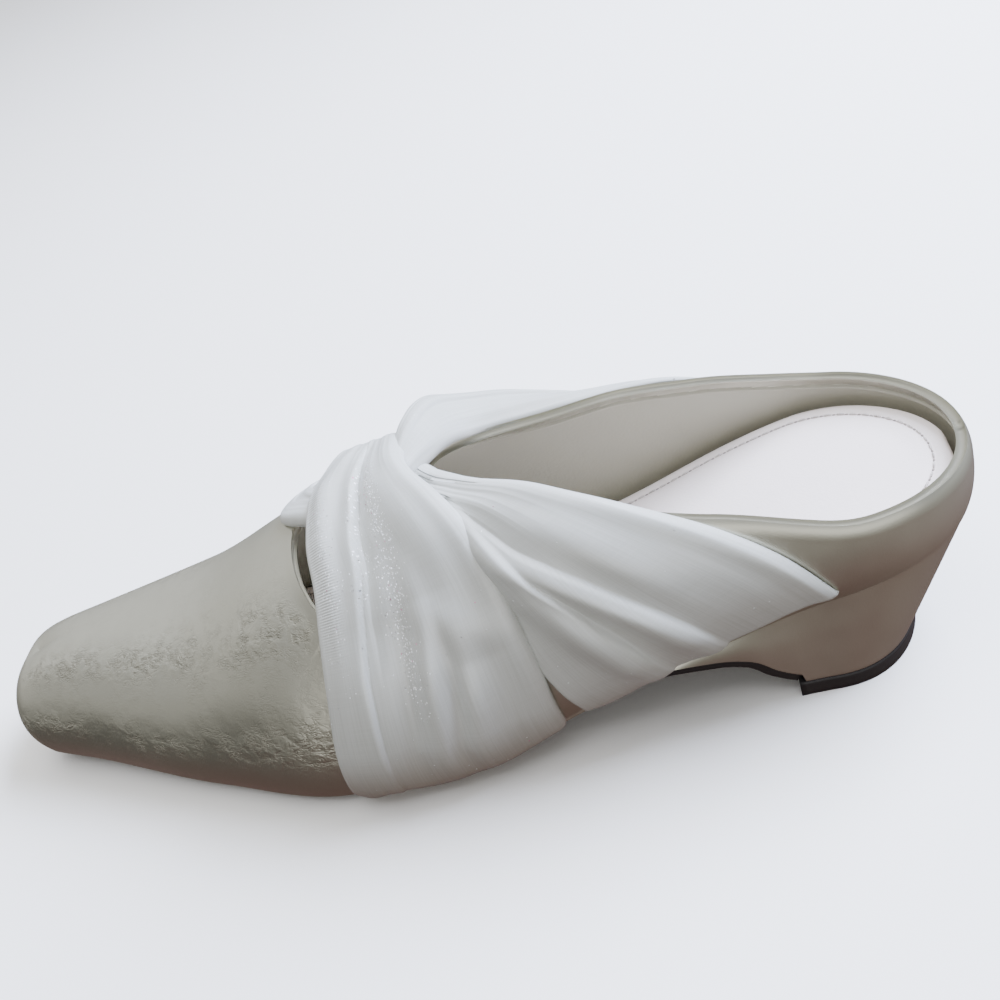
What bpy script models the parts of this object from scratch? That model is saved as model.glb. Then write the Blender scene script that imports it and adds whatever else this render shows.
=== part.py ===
"""A slip-on mule for the left foot: squared toe, low collar, covered wedge heel, twisted ribbon.

Lengths in the tables are millimetres and angles are degrees. The toe points to -X, the heel to
+X, the outer (lateral) side of the foot is at -Y and the inner (medial) side at +Y. The shoe
stands on the plane z = 0, on its tread under the ball and on its top lift under the heel.
"""

import bmesh
import bpy
import numpy as np

MM = 0.001
LATERAL, MEDIAL = -1, 1
# The middle of the finished shoe in plan, which becomes the origin.
CENTRE = np.array([0.37, -1.945, 0.0])


def table(columns, *rows):
    """A table with named columns: one array for each name."""
    return {name: np.array(values, float) for name, values in zip(columns.split(), zip(*rows))}


# The last, which gives the upper its form: one row for each section. Half widths are measured
# at the feather edge, where upper and sole meet; the ridge is the top of the section.
TOE, HEEL = -122.0, 122.0
LAST = table(
    "along lateral medial feather ridge",
    (-122, 11.8, 22.4, 6.0, 22.9),
    (-100, 18.3, 24.6, 5.2, 33.4),
    (-60, 32.0, 34.5, 3.5, 40),
    (-25, 40.5, 37.0, 3.0, 54),
    (10, 37.5, 31.5, 6.0, 62),
    (50, 31.0, 26.5, 17.0, 76),
    (90, 27.0, 28.0, 27.5, 88),
    (122, 28.0, 25.0, 32.0, 92),
)
TOE_RADIUS, TOE_SQUARENESS = 12.0, 3.5
HEEL_RADIUS, HEEL_SQUARENESS = 33.0, 2.1
SECTION_FULLNESS = 2.25
TOE_RAKE, TOE_RAKE_REACH = 12.0, 22.0
HEEL_RAKE, HEEL_RAKE_REACH = 26.0, 30.0
RIDGE_OFFSET = 0.4
TUCK, TUCK_BACK, TUCK_RISE, BACK_FROM, BACK_TO = 2.5, 0.5, 14.0, 30.0, 75.0

# Upper
WALL = 1.8
LASTING_MARGIN = 7.0
THROAT = -24.5
CUTOUT = table(
    "along angle",
    (THROAT, 90),
    (-23.2, 80),
    (-20, 66),
    (-15, 54),
    (-9, 48),
    (-3, 56),
    (1, 72),
    (5, 84),
    (12, 80),
)
TOPLINE = table(
    "along height", (12, 60.8), (21, 58.5), (34, 57.5), (50, 58.5), (70, 54), (100, 46), (122, 46)
)

# Sole unit
SEAM_GAP, SOLE_GAP, INSOLE_GAP = 0.35, 0.3, 0.5
INSOLE_TOP = table(
    "along height", (-122, 12.5), (-60, 9.5), (-25, 9.5), (10, 14.5), (50, 26), (90, 37), (122, 41.5)
)
INSOLE_INSET, INSOLE_EDGE = 2.5, 1.6
UNDERSIDE = table(
    "along height",
    (-119.5, 3.5),
    (-100, 2.7),
    (-80, 1.3),
    (-55, 0),
    (0, 0),
    (12, 1.6),
    (28, 6.3),
    (42, 10.9),
    (54, 14.6),
    (63, 14.2),
    (69.3, 12.5),
    (74.1, 8.0),
    (77.1, 5.7),
    (78.3, 4.65),
)
OUTSOLE_THICKNESS, OUTSOLE_INSET = 2.3, 1.2
UNDERCUT, UNDERCUT_FROM, UNDERCUT_TO = 0.07, 0.0, 20.0
OUTSOLE_FAIRING = (-14.0, 0.0)
WEDGE_FRONT, WEDGE_INSET = -6.0, 0.4
LIFT_THICKNESS, LIFT_FRONT, LIFT_INSET = 4.3, 79.5, 0.5
HEEL_SEAT, HEEL_LEAN = 81.0, 13.4
HEEL_FLARE, FLARE_FROM, FLARE_TO = 1.03, 30.0, 72.0

# The ribbon: two strips that hook through each other on the instep. One row for each section
# of a strip, from its front hem at the sole, over the knot, to its back hem. Each end of the
# section has a place along the shoe, an angle from the ridge (negative is lateral) and a
# height over the leather, and its middle puffs out further. The toe end comes first in the
# front fan.
RIBBON_COLUMNS = "along_a angle_a out_a along_b angle_b out_b puff pleat"
RIBBON_OUTER = table(
    RIBBON_COLUMNS,
    (-23, -89, 2.1, 29, -89, 2.1, 0, 0.5),
    (-21, -76, 2.7, 29.5, -77, 2.8, 0, 1.0),
    (-18, -58, 2.8, 28.5, -60, 3.2, 0, 1.0),
    (-16, -42, 3.2, 26.5, -44, 4.0, 0, 0.9),
    (-15, -28, 4.0, 23, -29, 5.2, 0, 0.8),
    (-16.5, -14, 6.0, 17, -16, 7.0, 0, 0.6),
    (-17, -2, 7.6, 11, -6, 8.4, 0, 0.4),
    (-12, 8, 8.6, 6, 3, 8.8, 0, 0.2),
    (-8, 15, 8.4, 3.5, 13, 8.4, 0, 0.0),
    (-7, 22, 5.2, 2.5, 21, 5.2, 0, 0.0),
    (-6, 15, 2.0, 4, 14, 2.0, 0, 0.0),
    (-1, 4, 1.8, 10, 3, 1.8, 0, 0.0),
    (6, -7, 1.8, 17, -7, 1.8, 0, 0.1),
    (14, -15, 2.0, 25, -16, 2.4, 0, 0.3),
    (22.5, -27, 2.1, 36, -26, 3.0, 0, 0.4),
    (26.8, -41, 2.5, 47, -38, 2.8, 0, 0.8),
    (29.7, -55, 2.6, 59, -51, 2.9, 0, 1.0),
    (31.5, -69, 2.6, 71, -64, 3.0, 0, 1.0),
    (32.5, -80, 2.6, 82, -77, 3.1, 0, 0.9),
    (33.5, -88, 2.0, 90, -87, 2.4, 0, 0.5),
)
RIBBON_INNER = table(
    RIBBON_COLUMNS,
    (-25, 89, 2.1, 30.5, 89, 2.1, 0, 0.5),
    (-23, 74, 2.7, 28, 75, 2.7, 0, 1.0),
    (-21, 58, 2.8, 21, 59, 2.8, 0, 1.0),
    (-22, 42, 2.8, 12.5, 46, 2.8, 0, 0.9),
    (-27, 26, 2.8, 4, 33, 2.8, 0, 0.6),
    (-28, 10, 2.8, -9, 26, 3.2, 0, 0.3),
    (-19, 0, 3.6, -11, 12, 4.6, 0, 0.1),
    (-9, -4.5, 4.8, -7, 7, 5.2, 0, 0.0),
    (-1, -5.5, 5.2, -1, 6, 5.2, 0, 0.0),
    (6, -5, 5.2, 5, 8, 5.2, 0, 0.0),
    (13.5, 6, 3.4, 7, 19, 5.8, 4.5, 0.1),
    (20.5, 28, 1.3, 7.5, 32, 4.4, 9, 0.2),
    (31, 38.5, 1.3, 14, 45, 3.2, 9, 0.3),
    (45, 47, 1.6, 22.5, 56, 3.0, 6, 0.6),
    (60, 56, 2.6, 28.5, 67, 3.0, 2, 0.9),
    (76, 71, 3.3, 32, 79, 3.0, 0, 1.0),
    (90, 87, 2.4, 34, 88, 2.2, 0, 0.5),
)
RIBBON_THICKNESS = 2.2
PLEATS = 4

CHAMPAGNE_LEATHER = ("champagne_leather", (0.62, 0.58, 0.52), 0.32, 0.75)
WHITE_SOCK = ("white_sock", (0.80, 0.77, 0.75), 0.55, 0.0)
BLACK_RUBBER = ("black_rubber", (0.02, 0.02, 0.02), 0.6, 0.0)
PEARL_ORGANZA = ("pearl_organza", (0.82, 0.83, 0.80), 0.4, 0.0)


def smooth(at, columns, name):
    """A column read between its rows with a smooth curve that never overshoots them."""
    xs, ys = columns["along"], columns[name]
    step = np.diff(xs)
    slope = np.diff(ys) / step
    inner = np.zeros(len(xs))
    rising = slope[:-1] * slope[1:] > 0
    first, second = 2 * step[1:] + step[:-1], step[1:] + 2 * step[:-1]
    safe = np.where(rising, slope[:-1], 1.0), np.where(rising, slope[1:], 1.0)
    inner[1:-1] = np.where(rising, (first + second) / (first / safe[0] + second / safe[1]), 0.0)
    inner[0], inner[-1] = slope[0], slope[-1]
    at = np.clip(np.asarray(at, float), xs[0], xs[-1])
    k = np.clip(np.searchsorted(xs, at, side="right") - 1, 0, len(step) - 1)
    h, t = step[k], (at - xs[k]) / step[k]
    return (
        ys[k] * (1 + 2 * t) * (1 - t) ** 2
        + inner[k] * h * t * (1 - t) ** 2
        + ys[k + 1] * t**2 * (3 - 2 * t)
        + inner[k + 1] * h * t**2 * (t - 1)
    )


def rounding(along):
    """How much of the full width a station keeps, from 0 at either tip to 1."""
    toe = np.clip((TOE + TOE_RADIUS - along) / TOE_RADIUS, 0, 1)
    heel = np.clip((along - HEEL + HEEL_RADIUS) / HEEL_RADIUS, 0, 1)
    toe = (1 - toe**TOE_SQUARENESS) ** (1 / TOE_SQUARENESS)
    return toe * (1 - heel**HEEL_SQUARENESS) ** (1 / HEEL_SQUARENESS)


def stations(toe_steps, forepart, heel_steps):
    """Stations from toe to heel, set closely round both ends, with the ones given between."""
    toe = np.sin(np.linspace(0, np.pi / 2, toe_steps + 1)[::-1]) ** (2 / TOE_SQUARENESS)
    heel = np.sin(np.linspace(0, np.pi / 2, heel_steps + 1)) ** (2 / HEEL_SQUARENESS)
    toe = TOE + TOE_RADIUS * (1 - toe)
    return np.concatenate([toe, forepart, HEEL - HEEL_RADIUS * (1 - heel)])


def skin(along, side, angle):
    """Points on the outside of the upper: angle 0 is the feather edge, 90 the ridge.

    A section is a quarter of a squared ellipse. Near the tips it rakes towards the middle of
    the shoe, and close to the sole it tucks in.
    """
    along, angle = np.broadcast_arrays(np.asarray(along, float), np.radians(angle))
    lateral, medial = smooth(along, LAST, "lateral"), smooth(along, LAST, "medial")
    edge = (medial - lateral) / 2 + side * (medial + lateral) / 2 * rounding(along)
    top = along + TOE_RAKE * np.exp((TOE - along) / TOE_RAKE_REACH)
    top = top - HEEL_RAKE * np.exp((along - HEEL) / HEEL_RAKE_REACH)
    middle = (smooth(top, LAST, "medial") - smooth(top, LAST, "lateral")) * RIDGE_OFFSET
    base, rise = smooth(along, LAST, "feather"), smooth(top, LAST, "ridge")
    inward = 1 - np.cos(angle) ** (2 / SECTION_FULLNESS)
    upward = (rise - base) * np.sin(angle) ** (2 / SECTION_FULLNESS)
    x, y, z = along + (top - along) * inward, edge + (middle - edge) * inward, base + upward
    reach = np.hypot(top - along, middle - edge) + 1e-9
    back = np.clip((along - BACK_FROM) / (BACK_TO - BACK_FROM), 0, 1)
    tuck = TUCK + (TUCK_BACK - TUCK) * back * back * (3 - 2 * back)
    tuck = tuck * np.clip(1 - upward / TUCK_RISE, 0, 1) ** 2
    x, y = x + tuck * (top - along) / reach, y + tuck * (middle - edge) / reach
    return np.stack([x, y, z], -1)


def feather(along, side, inset=0.0):
    """Points on the feather edge in plan, moved inwards by the inset."""
    edge, ridge = skin(along, side, 0.0), skin(along, side, 90.0)
    inward = (ridge - edge)[..., :2]
    inward /= np.linalg.norm(inward, axis=-1, keepdims=True) + 1e-9
    return edge[..., :2] + inward * inset


def opening_angle(along):
    """How far up the section the leather goes: to the ridge in front of the throat, along
    the cut-out under the knot, then to the height of the topline."""
    base = smooth(along, LAST, "feather")
    top = along - HEEL_RAKE * np.exp((along - HEEL) / HEEL_RAKE_REACH)
    part = (smooth(along, TOPLINE, "height") - base) / (smooth(top, LAST, "ridge") - base)
    collar = np.degrees(np.arcsin(np.clip(part, 0, 1) ** (SECTION_FULLNESS / 2)))
    cutout = smooth(along, CUTOUT, "angle")
    return np.where(along <= THROAT, 90.0, np.where(along < CUTOUT["along"][-1], cutout, collar))


def material(finish):
    name, colour, roughness, metallic = finish
    made = bpy.data.materials.new(name)
    made.use_nodes = True
    shader = made.node_tree.nodes["Principled BSDF"]
    shader.inputs["Base Color"].default_value = (*colour, 1)
    shader.inputs["Roughness"].default_value = roughness
    shader.inputs["Metallic"].default_value = metallic
    return made


def add_piece(name, bm, finish):
    bmesh.ops.translate(bm, verts=bm.verts, vec=-CENTRE * MM)
    mesh = bpy.data.meshes.new(name)
    bm.to_mesh(mesh)
    bm.free()
    mesh.shade_smooth()
    mesh.materials.append(material(finish))
    piece = bpy.data.objects.new(name, mesh)
    bpy.data.collections["mule"].objects.link(piece)
    return piece


def add_grid(bm, points, flip=False):
    """A sheet of quads through a grid of points, in millimetres."""
    rows, columns = points.shape[:2]
    verts = [bm.verts.new(p * MM) for p in points.reshape(-1, 3)]
    for i in range(rows - 1):
        for j in range(columns - 1):
            a, b = i * columns + j, (i + 1) * columns + j
            corners = [verts[a], verts[b], verts[b + 1], verts[a + 1]]
            bm.faces.new(corners[::-1] if flip else corners)


def loft(name, sections, finish):
    """A closed solid through closed sections, with flat ends."""
    bm = bmesh.new()
    rings = [[bm.verts.new(p * MM) for p in section] for section in sections]
    count = len(rings[0])
    for near, far in zip(rings, rings[1:]):
        for k in range(count):
            m = (k + 1) % count
            bm.faces.new((near[k], near[m], far[m], far[k]))
    bm.faces.new(rings[0][::-1])
    bm.faces.new(rings[-1])
    bmesh.ops.triangulate(bm, faces=[f for f in bm.faces if len(f.verts) > 4])
    bmesh.ops.recalc_face_normals(bm, faces=bm.faces)
    return add_piece(name, bm, finish)


def make_upper():
    """The outside as two half sheets, lateral and medial, each with the margin that is lasted
    under the foot; welded along the ridge and round both tips, then given its wall."""
    cutout_end = CUTOUT["along"][-1]
    throat = THROAT + (cutout_end - THROAT) * np.linspace(0, 1, 15) ** 1.4
    along = stations(8, np.r_[np.linspace(-104, -29, 12), throat, np.linspace(17, 84, 12)], 9)
    share = np.linspace(0, 1, 10)
    bm = bmesh.new()
    for side in (LATERAL, MEDIAL):
        angle = opening_angle(along)[:, None] * share
        wall = skin(along[:, None], side, angle)
        margin = []
        for inset in (LASTING_MARGIN, LASTING_MARGIN / 2):
            plan = feather(along, side, inset)
            margin.append(np.c_[plan, smooth(plan[:, 0], LAST, "feather")])
        points = np.concatenate([np.stack(margin, 1), wall], 1)
        add_grid(bm, points, flip=side == MEDIAL)
    bmesh.ops.remove_doubles(bm, verts=bm.verts, dist=0.00002)
    upper = add_piece("upper", bm, CHAMPAGNE_LEATHER)
    shell = upper.modifiers.new("wall", "SOLIDIFY")
    shell.thickness = WALL * MM
    shell.offset = -1
    return upper


def make_insole():
    """A padded sock that fills the outline inside the wall, with a rounded upper edge."""
    along = stations(7, np.linspace(-104, 84, 24), 8)[1:-1]
    left, right = (feather(along, side, INSOLE_INSET) for side in (LATERAL, MEDIAL))
    across = np.array([0, 0.02, 0.1, 0.3, 0.5, 0.7, 0.9, 0.98, 1])
    drop = INSOLE_EDGE * np.abs(2 * across - 1) ** 12
    plan = left[:, None] + (right - left)[:, None] * across[:, None]
    bottom = smooth(plan[:, [0, -1], 0], LAST, "feather") + WALL + INSOLE_GAP
    top = smooth(plan[..., 0], INSOLE_TOP, "height") - drop
    lower = np.concatenate([plan[:, [-1, 0]], bottom[:, ::-1, None]], -1)
    upper = np.concatenate([plan, top[..., None]], -1)
    return loft("insole", np.concatenate([upper, lower], 1), WHITE_SOCK)


def sole_path(count):
    """The underside in side view, from toe to breast, with its upward normal: (x, z) pairs."""
    corners = np.stack([UNDERSIDE["along"], UNDERSIDE["height"]], -1)
    run = np.r_[0, np.cumsum(np.linalg.norm(np.diff(corners, axis=0), axis=1))]
    curve = {"along": run, "x": corners[:, 0], "z": corners[:, 1]}
    at = np.unique(np.r_[np.linspace(0, run[-1], count), run[UNDERSIDE["height"] == 0]])
    points = np.stack([smooth(at, curve, "x"), smooth(at, curve, "z")], -1)
    heading = np.gradient(points, axis=0)
    normal = np.stack([-heading[:, 1], heading[:, 0]], -1)
    return points, normal / np.linalg.norm(normal, axis=1, keepdims=True)


def sole_layers(count):
    """The outsole's lower and upper lines in side view, and the wedge's lower line. Under the
    ball the outsole's top meets the upper; behind it the top runs parallel to the underside."""
    lower, normal = sole_path(count)
    meets = smooth(lower[:, 0], LAST, "feather") - SEAM_GAP - lower[:, 1]
    behind = np.interp(lower[:, 0], OUTSOLE_FAIRING, (0, 1))
    thickness = (meets * (1 - behind) + OUTSOLE_THICKNESS * behind)[:, None]
    return lower, lower + normal * thickness, lower + normal * (thickness + SOLE_GAP)


def flare(along):
    """How much wider than the last the sole is: it widens towards the foot of the heel."""
    return np.interp(along, (FLARE_FROM, FLARE_TO), (1, HEEL_FLARE))


def undercut(along):
    """How much narrower the outsole is below than above: only in front of the arch."""
    return 1 - np.interp(along, (UNDERCUT_FROM, UNDERCUT_TO), (UNDERCUT, 0))


def across_sole(line, along, inset, taper=1.0):
    """Two corners, lateral and medial, for each (x, z) of a line, as wide as the last."""
    left, right = (feather(along, side, inset)[:, 1] for side in (LATERAL, MEDIAL))
    middle, half = (left + right) / 2, (right - left) / 2 * taper
    return [np.stack([line[:, 0], middle + s * half, line[:, 1]], -1) for s in (LATERAL, MEDIAL)]


def make_outsole():
    lower, upper, _ = sole_layers(44)
    round_toe = stations(7, [], 1)[1:8]
    flat = lower[:, 0] > TOE + TOE_RADIUS
    height = np.interp(round_toe, lower[:, 0], lower[:, 1])
    nose = np.stack([feather(round_toe, LATERAL, OUTSOLE_INSET)[:, 0], height], -1)
    top = np.stack([nose[:, 0], smooth(round_toe, LAST, "feather") - SEAM_GAP], -1)
    along = np.r_[round_toe, lower[flat, 0]]
    low_taper = flare(along) * undercut(along)
    corners = across_sole(np.r_[nose, lower[flat]], along, OUTSOLE_INSET, low_taper)
    corners += across_sole(np.r_[top, upper[flat]], along, OUTSOLE_INSET, flare(along))[::-1]
    return loft("outsole", np.stack(corners, 1), BLACK_RUBBER)


def heel_foot(along):
    """Where a station of the heel's outline comes down on the top lift."""
    return along - HEEL_LEAN * np.clip((along - HEEL_SEAT) / (HEEL - HEEL_SEAT), 0, 1) ** 1.2


def heel_stations():
    return np.r_[HEEL_SEAT, stations(1, [], 9)[2:-1]]


def make_heel_wedge():
    _, _, line = sole_layers(44)
    line = line[(line[:, 0] > WEDGE_FRONT) & (line[:, 0] < HEEL_SEAT)]
    seat = heel_stations()
    along = np.r_[line[:, 0], seat]
    foot = np.r_[line, np.stack([heel_foot(seat), seat * 0 + LIFT_THICKNESS + SOLE_GAP], -1)]
    head_x = feather(along, LATERAL)[:, 0]
    head = np.stack([head_x, smooth(head_x, LAST, "feather") - SEAM_GAP], -1)
    corners = across_sole(foot, along, WEDGE_INSET, flare(along))
    corners += across_sole(head, along, WEDGE_INSET)[::-1]
    return loft("heel_wedge", np.stack(corners, 1), CHAMPAGNE_LEATHER)


def make_top_lift():
    seat = heel_stations()
    along, plan_x = np.r_[LIFT_FRONT, seat], np.r_[LIFT_FRONT, heel_foot(seat)]
    tread, top = (np.stack([plan_x, plan_x * 0 + z], -1) for z in (0, LIFT_THICKNESS))
    corners = across_sole(tread, along, LIFT_INSET, flare(along))
    corners += across_sole(top, along, LIFT_INSET, flare(along))[::-1]
    return loft("top_lift", np.stack(corners, 1), BLACK_RUBBER)


def over_skin(along, angle, out):
    """Points over the leather: the angle runs from -90, lateral sole, over the ridge at 0."""
    def point(a, t):
        lateral, medial = (skin(a, side, 90 - np.abs(t)) for side in (LATERAL, MEDIAL))
        return np.where((t < 0)[..., None], lateral, medial)

    here = point(along, angle)
    normal = np.cross(point(along + 0.5, angle) - here, point(along, angle + 0.5) - here)
    normal /= np.linalg.norm(normal, axis=-1, keepdims=True)
    return here + normal * out[..., None]


def make_ribbon(name, rows, steps_along=4, steps_across=16):
    """A pleated strip: its sections are read smoothly between the rows and puffed out, it is
    thrown into pleats that run along it, and it is given its thickness."""
    row = np.arange(len(rows["pleat"]), dtype=float)
    fine = np.linspace(0, row[-1], (len(row) - 1) * steps_along // 2 + 1)
    read = {key: smooth(fine, {"along": row, key: values}, key) for key, values in rows.items()}
    across = np.linspace(0, 1, steps_across + 1)

    def between(quantity):
        a, b = read[quantity + "_a"][:, None], read[quantity + "_b"][:, None]
        return a + (b - a) * across

    puff = 4 * across * (1 - across) * read["puff"][:, None]
    middle = over_skin(between("along"), between("angle"), between("out") + puff)
    down, over = np.gradient(middle, axis=0), np.gradient(middle, axis=1)
    normal = np.cross(down, over)
    normal /= np.linalg.norm(normal, axis=-1, keepdims=True)
    pleat = np.cos(2 * np.pi * PLEATS * across) * read["pleat"][:, None]
    half = RIBBON_THICKNESS / 2 * np.minimum(1, 0.35 + 8 * across * (1 - across))
    front = middle + normal * (pleat + half)[..., None]
    back = middle + normal * (pleat - half)[..., None]
    return loft(name, np.concatenate([front, back[:, ::-1]], 1), PEARL_ORGANZA)


def main():
    for leftover in list(bpy.data.objects):
        bpy.data.objects.remove(leftover, do_unlink=True)
    bpy.context.scene.collection.children.link(bpy.data.collections.new("mule"))
    make_upper()
    make_insole()
    make_outsole()
    make_heel_wedge()
    make_top_lift()
    make_ribbon("wrap_outer", RIBBON_OUTER)
    make_ribbon("wrap_inner", RIBBON_INNER)


main()
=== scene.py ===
import math

import bmesh
import bpy
import numpy as np
from mathutils import Matrix, Vector


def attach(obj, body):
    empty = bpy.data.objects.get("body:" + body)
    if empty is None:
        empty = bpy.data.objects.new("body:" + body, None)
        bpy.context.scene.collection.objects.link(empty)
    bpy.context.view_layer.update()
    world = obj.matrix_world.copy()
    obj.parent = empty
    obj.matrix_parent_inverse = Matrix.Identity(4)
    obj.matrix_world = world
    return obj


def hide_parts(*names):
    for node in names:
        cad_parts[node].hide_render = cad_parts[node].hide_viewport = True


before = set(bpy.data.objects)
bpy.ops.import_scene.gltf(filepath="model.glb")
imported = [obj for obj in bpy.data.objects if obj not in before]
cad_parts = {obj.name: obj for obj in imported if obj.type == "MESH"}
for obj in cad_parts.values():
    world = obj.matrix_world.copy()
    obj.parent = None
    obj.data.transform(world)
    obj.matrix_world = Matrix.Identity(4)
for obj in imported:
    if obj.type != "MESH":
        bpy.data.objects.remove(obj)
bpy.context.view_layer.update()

# ---------------------------------------------------------------------------
# Sizes. Tables are in millimetres and degrees, as the part's own are: the toe
# points to -X, the heel to +X, the outer (lateral) side of the foot is at -Y.
# ---------------------------------------------------------------------------

MM = 0.001
LATERAL, MEDIAL = -1, 1
CENTRE = np.array([0.37, -1.945, 0.0])


def table(columns, *rows):
    """A table with named columns: one array for each name."""
    return {name: np.array(values, float) for name, values in zip(columns.split(), zip(*rows))}


TOE, HEEL = -122.0, 122.0
LAST = table(
    "along lateral medial feather ridge",
    (-122, 11.8, 22.4, 6.0, 22.9),
    (-100, 18.3, 24.6, 5.2, 33.4),
    (-60, 32.0, 34.5, 3.5, 40),
    (-25, 40.5, 37.0, 3.0, 54),
    (10, 37.5, 31.5, 6.0, 62),
    (50, 31.0, 26.5, 17.0, 76),
    (90, 27.0, 28.0, 27.5, 88),
    (122, 28.0, 25.0, 32.0, 92),
)
TOE_RADIUS, TOE_SQUARENESS = 12.0, 3.5
HEEL_RADIUS, HEEL_SQUARENESS = 33.0, 2.1
SECTION_FULLNESS = 2.25
TOE_RAKE, TOE_RAKE_REACH = 12.0, 22.0
HEEL_RAKE, HEEL_RAKE_REACH = 26.0, 30.0
RIDGE_OFFSET = 0.4
TUCK, TUCK_BACK, TUCK_RISE, BACK_FROM, BACK_TO = 2.5, 0.1, 14.0, 30.0, 75.0
# The quarter stands a little proud of the wedge, fullest this high above the feather edge.
BACK_FULLNESS, BACK_FULLEST = 1.3, 9.0

WALL = 1.8
LASTING_MARGIN = 7.0
THROAT = -24.5
CUTOUT = table(
    "along angle",
    (THROAT, 90),
    (-23.2, 80),
    (-20, 66),
    (-15, 54),
    (-9, 48),
    (-3, 56),
    (1, 72),
    (5, 84),
    (12, 80),
)
TOPLINE = table(
    "along height", (12, 60.8), (21, 58.5), (34, 57.5), (50, 58.5), (70, 54), (100, 46), (122, 46)
)
RIM_SWELL, RIM_REACH = 0.2, 2.0
# Round the collar the wall leans in towards its rim by this much, over these reaches.
COLLAR_LEAN, COLLAR_REACH = 0.8, {"out": 3.2, "in": 8.0}
LEAN_GROWS = (25, 60)
# The lining is let in this far below the rim, under a sewn groove and a soft piping. Each has
# a depth or height and a reach, and the piping lies this much further down.
LINING_EDGE = 3.0
GROOVE_DEPTH, GROOVE_REACH = 0.55, 0.32
PIPING_HEIGHT, PIPING_REACH, PIPING_BELOW = 0.22, 0.4, 0.75

SEAM_GAP, SOLE_GAP, INSOLE_GAP = 0.12, 0.3, 0.5
INSOLE_TOP = table(
    "along height", (-122, 12.5), (-60, 9.5), (-25, 9.5), (10, 14.5), (50, 26), (90, 37), (122, 41.5)
)
SOCK_INSET, SOCK_EDGE = 2.6, 1.9
STITCH_INSET, STITCH_PITCH, STITCH_LENGTH, THREAD = 6.4, 2.9, 2.0, 0.5
STITCH_SUNK, HOLE_RADIUS, HOLE_SUNK = 0.28, 0.34, 0.6
CHANNEL_DEPTH, CHANNEL_REACH = 0.4, 0.8
UNDERSIDE = table(
    "along height",
    (-119.5, 3.5),
    (-100, 2.7),
    (-80, 1.3),
    (-55, 0),
    (0, 0),
    (12, 1.6),
    (28, 6.3),
    (42, 10.9),
    (54, 14.6),
    (63, 14.2),
    (69.3, 12.5),
    (74.1, 8.0),
    (77.3, 5.7),
    (79.2, 4.65),
)
OUTSOLE_THICKNESS, OUTSOLE_INSET = 2.3, 1.2
UNDERCUT, UNDERCUT_FROM, UNDERCUT_TO = 0.07, 0.0, 20.0
# At the waist the outsole's edge sits this much further in, as a share of the width.
WAIST_IN, WAIST_AT, WAIST_REACH = 0.08, 29.0, 15.0
OUTSOLE_FAIRING = (-14.0, 0.0)
WEDGE_FRONT, WEDGE_INSET = -6.0, 0.4
LIFT_THICKNESS, LIFT_FRONT, LIFT_INSET = 4.3, 79.5, 0.5
HEEL_SEAT, HEEL_LEAN = 81.0, 13.4
HEEL_FLARE, FLARE_FROM, FLARE_TO = 1.03, 30.0, 72.0
SOLE_BULGE, WEDGE_BULGE, LIFT_BULGE = 0.1, 0.25, 0.0
SOLE_BEVEL, WEDGE_BEVEL, LIFT_BEVEL = 0.3, 0.15, 0.3
# A slab bulges by no more than this share of its height, and its bevel is no more than that
# one; below this width both fade.
BULGE_SHARE, BEVEL_SHARE, NARROW_SLAB = 0.04, 0.1, 4

# The two strips of ribbon, from the front hem at the sole, over the knot, to the back hem.
# Each end of a section has a place along the shoe, an angle from the ridge (negative is
# lateral) and a height over the leather; puff is how far the section's middle stands off.
RIBBON_COLUMNS = "along_a angle_a out_a along_b angle_b out_b puff"
RIBBON_OUTER = table(
    RIBBON_COLUMNS,
    (-21.5, -85, 2.1, 27.5, -88, 2.1, 1.8),
    (-20, -74, 2.7, 27.5, -77, 3.0, 2.2),
    (-17, -58, 2.8, 26.5, -60, 3.6, 1.5),
    (-14.8, -42, 3.0, 24.8, -44, 4.4, 0),
    (-13.8, -28, 3.6, 22, -29, 5.4, 0),
    (-14.8, -14, 4.6, 17, -16, 6.8, 0),
    (-14.6, -2, 6.0, 12, -7, 7.6, 0),
    (-10.5, 7, 7.2, 8, 2, 8.0, 0),
    (-8, 13, 7.7, 6, 11, 7.8, 0),
    (-7, 20, 5.0, 4, 19, 4.8, 0),
    (-6, 15, 2.0, 4, 14, 2.0, 0),
    (-1, 4, 1.8, 10, 3, 1.8, 0),
    (4, -7, 1.6, 17, -7, 1.8, 0),
    (10, -16, 1.4, 25, -16, 2.2, 1.0),
    (17.5, -27, 1.3, 36, -26, 2.4, 2.2),
    (22.5, -41, 1.3, 47, -38, 2.0, 3.4),
    (25.5, -55, 1.4, 59, -51, 1.9, 3.8),
    (28, -69, 2.0, 71, -64, 2.0, 3.4),
    (31.2, -80, 2.4, 82, -77, 1.9, 2.0),
    (34, -88, 2.0, 89, -87, 1.3, 0),
)
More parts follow.
